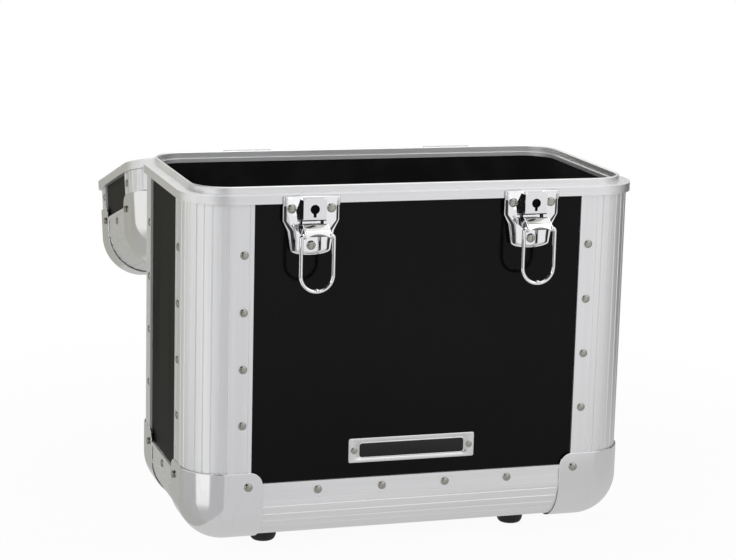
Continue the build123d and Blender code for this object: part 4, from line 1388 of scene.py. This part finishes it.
@dataclass
class LockCores(Assembly):
    """Lock cores that close the keyholes from inside, coloured near black as painted shade in the keyholes.
    """

    drop: float = 0.0086
    radius: float = 0.0038
    slot: float = 0.0012
    slot_drop: float = 0.0064
    grown: float = 0.00004
    sunk: float = 0.0004
    depth: float = 0.0030

    def build(self) -> None:
        """Sink a core behind each keyhole."""
        for side in ("left", "right"):
            low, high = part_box(f"lock_housing_{side}")
            centre = Vector(((low[0] + high[0]) / 2, self.front(side), high[2] - self.drop))
            start = math.asin(self.slot / self.radius)
            radius, slot = self.radius + self.grown, self.slot + self.grown
            turns = [start + (2 * math.pi - 2 * start) * index / 32 for index in range(33)]
            hole = [(-radius * math.sin(turn), -radius * math.cos(turn)) for turn in turns]
            hole += [(slot, -self.slot_drop), (-slot, -self.slot_drop)]
            skin = Skin()
            rows = []
            for back in (self.sunk, self.depth):
                rows.append(skin.row([centre + Vector((x, back, z)) for x, z in hole]))
            skin.span(rows[0], rows[1])
            skin.cap(rows[1])
            post = [(0.0009, 0.0), (0.0009, 0.0012), (0.0006, 0.0016), (0.0001, 0.0017)]
            lathe(skin, centre + Vector((0.0, self.depth, 0.0)), Vector((0.0, -1.0, 0.0)), post, 12)
            self.mount(skin.piece(f"lock_core_{side}", smooth=False), Finishes.KEYHOLE_SHADE, "body")

    def front(self, side: str) -> float:
        """Y of the lock housing's face, found above the lever's ears.

        Args:
            side: Which latch.

        Returns:
            The lowest Y of the housing's corners in its upper half.
        """
        low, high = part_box(f"lock_housing_{side}")
        middle_z = high[2] - 0.010
        corners = [vert.co for vert in self.cad(f"lock_housing_{side}").data.vertices]
        return min(corner.y for corner in corners if corner.z > middle_z)


@dataclass
class Feet(Assembly):
    """Rubber feet with a rounded tread and a recess for the screw."""

    count: int = 40
    profile: Profile = (
        (0.0044, 0.0060),
        (0.0046, 0.0006),
        (0.0050, 0.0001),
        (0.0056, 0.0),
        (0.0076, 0.0),
        (0.0088, 0.0004),
        (0.0099, 0.0014),
        (0.0107, 0.0030),
        (0.0111, 0.0048),
        (0.0125, 0.0150),
        (0.0127, 0.0158),
        (0.0127, 0.0181),
        (0.0044, 0.0181),
    )

    def build(self) -> None:
        """Turn the four feet."""
        skin = Skin()
        for points in islands(self.cad("feet")):
            centre = middle([point for point in points if point.z > 0.017])
            foot = Vector((centre.x, centre.y, 0.0))
            lathe(skin, foot, Vector((0.0, 0.0, 1.0)), self.profile, self.count)
        self.mount(skin.piece("rubber_feet"), Finishes.RUBBER, "body", ["feet"])


@dataclass
class Nameplate(Assembly):
    """Bare plate with a lined border and a plain enamelled field."""

    field: tuple[float, float] = (0.0922, 0.0142)
    field_corner: float = 0.0036
    steps: int = 6

    def build(self) -> None:
        """Build the plate and its field."""
        low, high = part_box("nameplate")
        centre = Vector(((low[0] + high[0]) / 2, high[1], (low[2] + high[2]) / 2))
        width, height = high[0] - low[0], high[2] - low[2]
        rise = high[1] - low[1]
        levels = [(0.0, 0.0), (0.0, rise - 0.0003), (0.0001, rise - 0.0001), (0.0004, rise)]
        skin = Skin()
        rows = [self.outline(centre, width, height, 0.0016, inset, out) for inset, out in levels]
        wide, tall = self.field
        border = [(0.0, 0.0), (0.00012, -0.00022), (0.00042, -0.00022), (0.00054, 0.0)]
        border += [(0.0011, 0.0), (0.00125, -0.00018)]
        for inset, drop in border:
            rows.append(self.outline(centre, wide, tall, self.field_corner, inset, rise + drop))
        skin.tube(rows)
        self.mount(skin.piece("bare_nameplate"), Finishes.PLATE, "body", ["nameplate"])
        enamel = Skin()
        bed = [(0.00125, -0.00025), (0.00125, -0.00012), (0.00145, -0.00008)]
        layers = []
        for inset, drop in bed:
            layers.append(self.outline(centre, wide, tall, self.field_corner, inset, rise + drop))
        enamel.tube(layers)
        self.mount(enamel.piece("nameplate_enamel"), Finishes.ENAMEL, "body")

    def outline(
        self,
        centre: Vector,
        width: float,
        height: float,
        corner: float,
        inset: float,
        out: float,
    ) -> Loop:
        """A rounded rectangle that faces the front.

        Args:
            centre: Its centre, on the panel.
            width: Its width.
            height: Its height.
            corner: Radius of its corners.
            inset: How far it is drawn in.
            out: How far it stands in front of the centre.

        Returns:
            Its points.
        """
        radius = max(corner - inset, 0.0003)
        half_x, half_z = width / 2 - inset - radius, height / 2 - inset - radius
        points = []
        for quarter, (sign_x, sign_z) in enumerate(((1, 1), (-1, 1), (-1, -1), (1, -1))):
            for index in range(self.steps + 1):
                turn = math.pi / 2 * (quarter + index / self.steps)
                x = sign_x * half_x + radius * math.cos(turn)
                z = sign_z * half_z + radius * math.sin(turn)
                points.append(centre + Vector((x, -out, z)))
        return points


@dataclass
class Fittings(Assembly):
    """Latches, hinges, handle and liner."""

    def build(self) -> None:
        """Dress the fittings."""
        sides = ("left", "right")
        self.paint(["lid_catches"], Finishes.LATCH, 0.0002)
        self.paint([f"lock_housing_{side}" for side in sides], Finishes.SATIN, 0.0003)
        pins = ["hinge_pins", "latch_pins", "handle_pins", "foot_screws"]
        self.paint([*pins, "hinge_body_leaves", "hinge_lid_leaves"], Finishes.ZINC, 0.0002)
        self.paint(["handle_brackets"], Finishes.LATCH, 0.0003)
        self.paint(["handle_grip"], Finishes.HANDLE, 0.0012)
        self.paint(["body_lining", "lid_lining"], Finishes.FLOCK)


# ------------------------------------------------------------------ studio
@dataclass
class Studio:
    """Pale floor, soft lamps, white surroundings and the camera."""

    camera_place: Point = (-0.569125, -1.879124, 0.599243)
    camera_turn: Point = (78.28434, -1.40984, -17.01695)
    lens: float = 109.8404
    sensor: float = 36.0
    floor_size: float = 14.0

    def build(self) -> None:
        """Set everything up."""
        self.camera()
        self.floor()
        self.world()
        warm, cool, plain = (1.0, 0.98, 0.93), (0.97, 0.98, 1.0), (1.0, 1.0, 1.0)
        self.lamp("key", (-2.1, -1.8, 1.6), (0.0, 0.0, 0.15), 1.4, 31.0, cool)
        self.lamp("fill", (1.7, -2.3, 1.6), (0.0, 0.0, 0.15), 1.6, 4.5, plain)
        self.lamp("top", (0.1, 0.3, 2.6), (0.0, 0.0, 0.2), 2.0, 12.0, plain)
        self.lamp("back", (-0.6, 2.4, 1.6), (0.0, 0.0, 0.2), 1.6, 6.0, warm)
        # Glowing cards seen only in reflections: painted reflections, with painted light and shadow beside
        # the case.
        sweep = [(0.0, 0.001), (0.5, 0.001), (1.2, 0.001), (2.4, 0.001)]
        sweep += [(3.1, 0.25), (3.4, 1.0), (3.2, 2.0)]
        spot = [(0.0, 0.001), (0.02, 0.001), (0.05, 0.001), (0.1, 0.001), (0.2, 0.001)]
        stand = [(0.86, 0.002), (1.2, 0.002), (1.22, 0.42)]
        away = [(0.5, 0.002), (0.6, 0.002), (0.75, 0.002), (1.1, 0.002), (1.6, 0.002)]
        roof = [(1.5, 0.75), (1.25, 1.25), (0.95, 1.7), (0.6, 1.95)]
        dark = rgba(0.008, 0.008, 0.008)
        beside_lens = (rgba(0.50, 0.50, 0.505), rgba(0.64, 0.64, 0.65))
        self.card("lens side sweep", (-39.0, 12.0), sweep, *beside_lens)
        self.card("front sweep", (12.0, 62.0), sweep, rgba(0.63, 0.63, 0.64), rgba(0.86, 0.86, 0.87))
        self.card("right sweep", (62.0, 180.0), sweep, rgba(0.62, 0.62, 0.62), rgba(0.48, 0.48, 0.47))
        self.card("left sweep", (-128.0, -82.0), sweep, rgba(0.47, 0.47, 0.47), rgba(0.90, 0.90, 0.88))
        self.card("rear sweep", (-180.0, -128.0), sweep, rgba(0.45, 0.45, 0.43), rgba(0.42, 0.415, 0.37))
        white = rgba(1.0, 1.0, 1.0)
        self.card("gap", (-82.0, -39.0), spot, rgba(0.50, 0.50, 0.50), white, (0.03, 0.2))
        self.card("gap floor", (-82.0, -39.0), away, white, rgba(0.16, 0.16, 0.135), (0.5, 0.75))
        self.card("lens shade", (-27.0, -7.0), stand, dark, dark)
        self.card("right shade", (92.0, 120.0), stand, dark, dark)
        self.card("roof shade", (-160.0, 0.0), roof, dark, dark)

    def camera(self) -> None:
        """Place the camera as the photograph was taken."""
        data = bpy.data.cameras.new("camera")
        data.lens = self.lens
        data.sensor_width = self.sensor
        data.sensor_fit = "HORIZONTAL"
        data.clip_start = 0.05
        data.clip_end = 60.0
        item = bpy.data.objects.new("camera", data)
        item.location = self.camera_place
        item.rotation_euler = [math.radians(angle) for angle in self.camera_turn]
        bpy.context.scene.collection.objects.link(item)
        bpy.context.scene.camera = item

    def floor(self) -> None:
        """Lay a pale floor that shades to white but keeps the case's shadow."""
        half = self.floor_size / 2
        mesh = bpy.data.meshes.new("floor")
        corners = [(-half, -half, 0.0), (half, -half, 0.0), (half, half, 0.0), (-half, half, 0.0)]
        mesh.from_pydata(corners, [], [(0, 1, 2, 3)])
        item = bpy.data.objects.new("floor", mesh)
        bpy.context.scene.collection.objects.link(item)
        s = Shading("floor")
        tone = s.noise(s.place(), 3.0, 2.0)
        pale = s.blend(tone, rgba(0.86, 0.86, 0.86), rgba(0.88, 0.88, 0.88))
        s.set(Base_Color=pale, Roughness=0.9, Specular_IOR_Level=0.0)
        path = s.node("ShaderNodeLightPath")
        seen = Num(s, path.outputs["Is Camera Ray"]) + Num(s, path.outputs["Is Glossy Ray"])
        seen = (seen + Num(s, path.outputs["Is Transmission Ray"])).clamped()
        glow = s.node("ShaderNodeEmission", None, {"Color": rgba(1.0, 1.0, 1.0), "Strength": 1.0})
        away = s.node("ShaderNodeVectorMath", {"operation": "LENGTH"}, {0: s.place()}).outputs["Value"]
        share = Num(s, away).above(0.25, 0.8) * 0.05 + 0.95
        halves = {0: seen * share, 1: s.surface.outputs[0], 2: glow.outputs[0]}
        mixed = s.node("ShaderNodeMixShader", None, halves)
        s.tree.links.new(mixed.outputs[0], s.output.inputs["Surface"])
        dress(item, s.material)

    def world(self) -> None:
        """White surroundings where they are seen, soft light elsewhere."""
        world = bpy.data.worlds.new("surroundings")
        bpy.context.scene.world = world
        world.use_nodes = True
        tree = world.node_tree
        tree.nodes.clear()
        path = tree.nodes.new("ShaderNodeLightPath")
        seen = tree.nodes.new("ShaderNodeMath")
        seen.operation = "ADD"
        seen.use_clamp = True
        tree.links.new(path.outputs["Is Camera Ray"], seen.inputs[0])
        tree.links.new(path.outputs["Is Glossy Ray"], seen.inputs[1])
        clear = tree.nodes.new("ShaderNodeMath")
        clear.operation = "ADD"
        clear.use_clamp = True
        tree.links.new(seen.outputs[0], clear.inputs[0])
        tree.links.new(path.outputs["Is Transmission Ray"], clear.inputs[1])
        soft = tree.nodes.new("ShaderNodeBackground")
        soft.inputs["Strength"].default_value = 0.5
        white = tree.nodes.new("ShaderNodeBackground")
        white.inputs["Color"].default_value = rgba(1.0, 1.0, 1.0)
        mixed = tree.nodes.new("ShaderNodeMixShader")
        tree.links.new(clear.outputs[0], mixed.inputs[0])
        tree.links.new(soft.outputs[0], mixed.inputs[1])
        tree.links.new(white.outputs[0], mixed.inputs[2])
        output = tree.nodes.new("ShaderNodeOutputWorld")
        tree.links.new(mixed.outputs[0], output.inputs["Surface"])

    @staticmethod
    def card(
        name: str,
        turn: tuple[float, float],
        profile: Profile,
        near: Colour,
        far: Colour,
        fade: tuple[float, float] = (0.15, 1.05),
    ) -> None:
        """Stand a curved glowing card, mirrored by the case but not seen, round its front left corner: a
        painted reflection.

        Args:
            name: The card's name.
            turn: Degrees to the right of the front where it starts and ends.
            profile: Distance from the corner and height of each of its long edges.
            near: Its brightness and tint beside the case, painted light and shadow of the case.
            far: The same away from the case.
            fade: Distances from the corner between which one turns into the other.
        """
        skin = Skin()
        low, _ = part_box("corner_extrusion_front_left")
        steps = 24
        rows = []
        for away, height in profile:
            points = []
            for step in range(steps + 1):
                angle = math.radians(turn[0] + (turn[1] - turn[0]) * step / steps)
                across, back = away * math.sin(angle), away * math.cos(angle)
                points.append(Vector((low[0] + across, low[1] - back, height)))
            rows.append(skin.row(points))
        for first, second in zip(rows, rows[1:]):
            skin.span(first, second, closed=False)
        item = skin.piece(name.replace(" ", "_"))
        s = Shading(name)
        corner = {0: s.place(), 1: (low[0], low[1], 0.0)}
        away = s.node("ShaderNodeVectorMath", {"operation": "DISTANCE"}, corner).outputs["Value"]
        tone = s.blend(Num(s, away).above(*fade), near, far)
        glow = s.node("ShaderNodeEmission", None, {"Color": tone, "Strength": 1.0})
        s.tree.links.new(glow.outputs[0], s.output.inputs["Surface"])
        dress(item, s.material)
        for ray in ("camera", "diffuse", "shadow", "transmission", "volume_scatter"):
            setattr(item, f"visible_{ray}", False)

    @staticmethod
    def lamp(name: str, place: Point, target: Point, size: float, power: float, colour: Point) -> None:
        """Add a square soft lamp.

        Args:
            name: The lamp's name.
            place: Where it stands.
            target: What it points at.
            size: Its width and height, in metres.
            power: Its power, in watts.
            colour: Its tint.
        """
        data = bpy.data.lights.new(name, "AREA")
        data.size = size
        data.energy = power
        data.color = colour
        item = bpy.data.objects.new(name, data)
        item.location = place
        item.rotation_euler = (Vector(target) - Vector(place)).to_track_quat("-Z", "Y").to_euler()
        bpy.context.scene.collection.objects.link(item)


def main() -> None:
    """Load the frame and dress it."""
    logging.basicConfig(level=logging.INFO, format="%(message)s")
    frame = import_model()
    view = bpy.context.scene.view_settings
    view.view_transform = "Standard"
    finishes = Finishes()
    Studio().build()
    Panels(frame, finishes).build()
    Extrusions(frame, finishes, math.radians(LID_LEAN)).build()
    latches = (LatchPlates, LatchLevers, LockCores, WireLoops)
    for kind in (RivetHeads, BallCorners, *latches, Feet, Nameplate, Fittings):
        kind(frame, finishes).build()


if __name__ == "__main__":
    main()
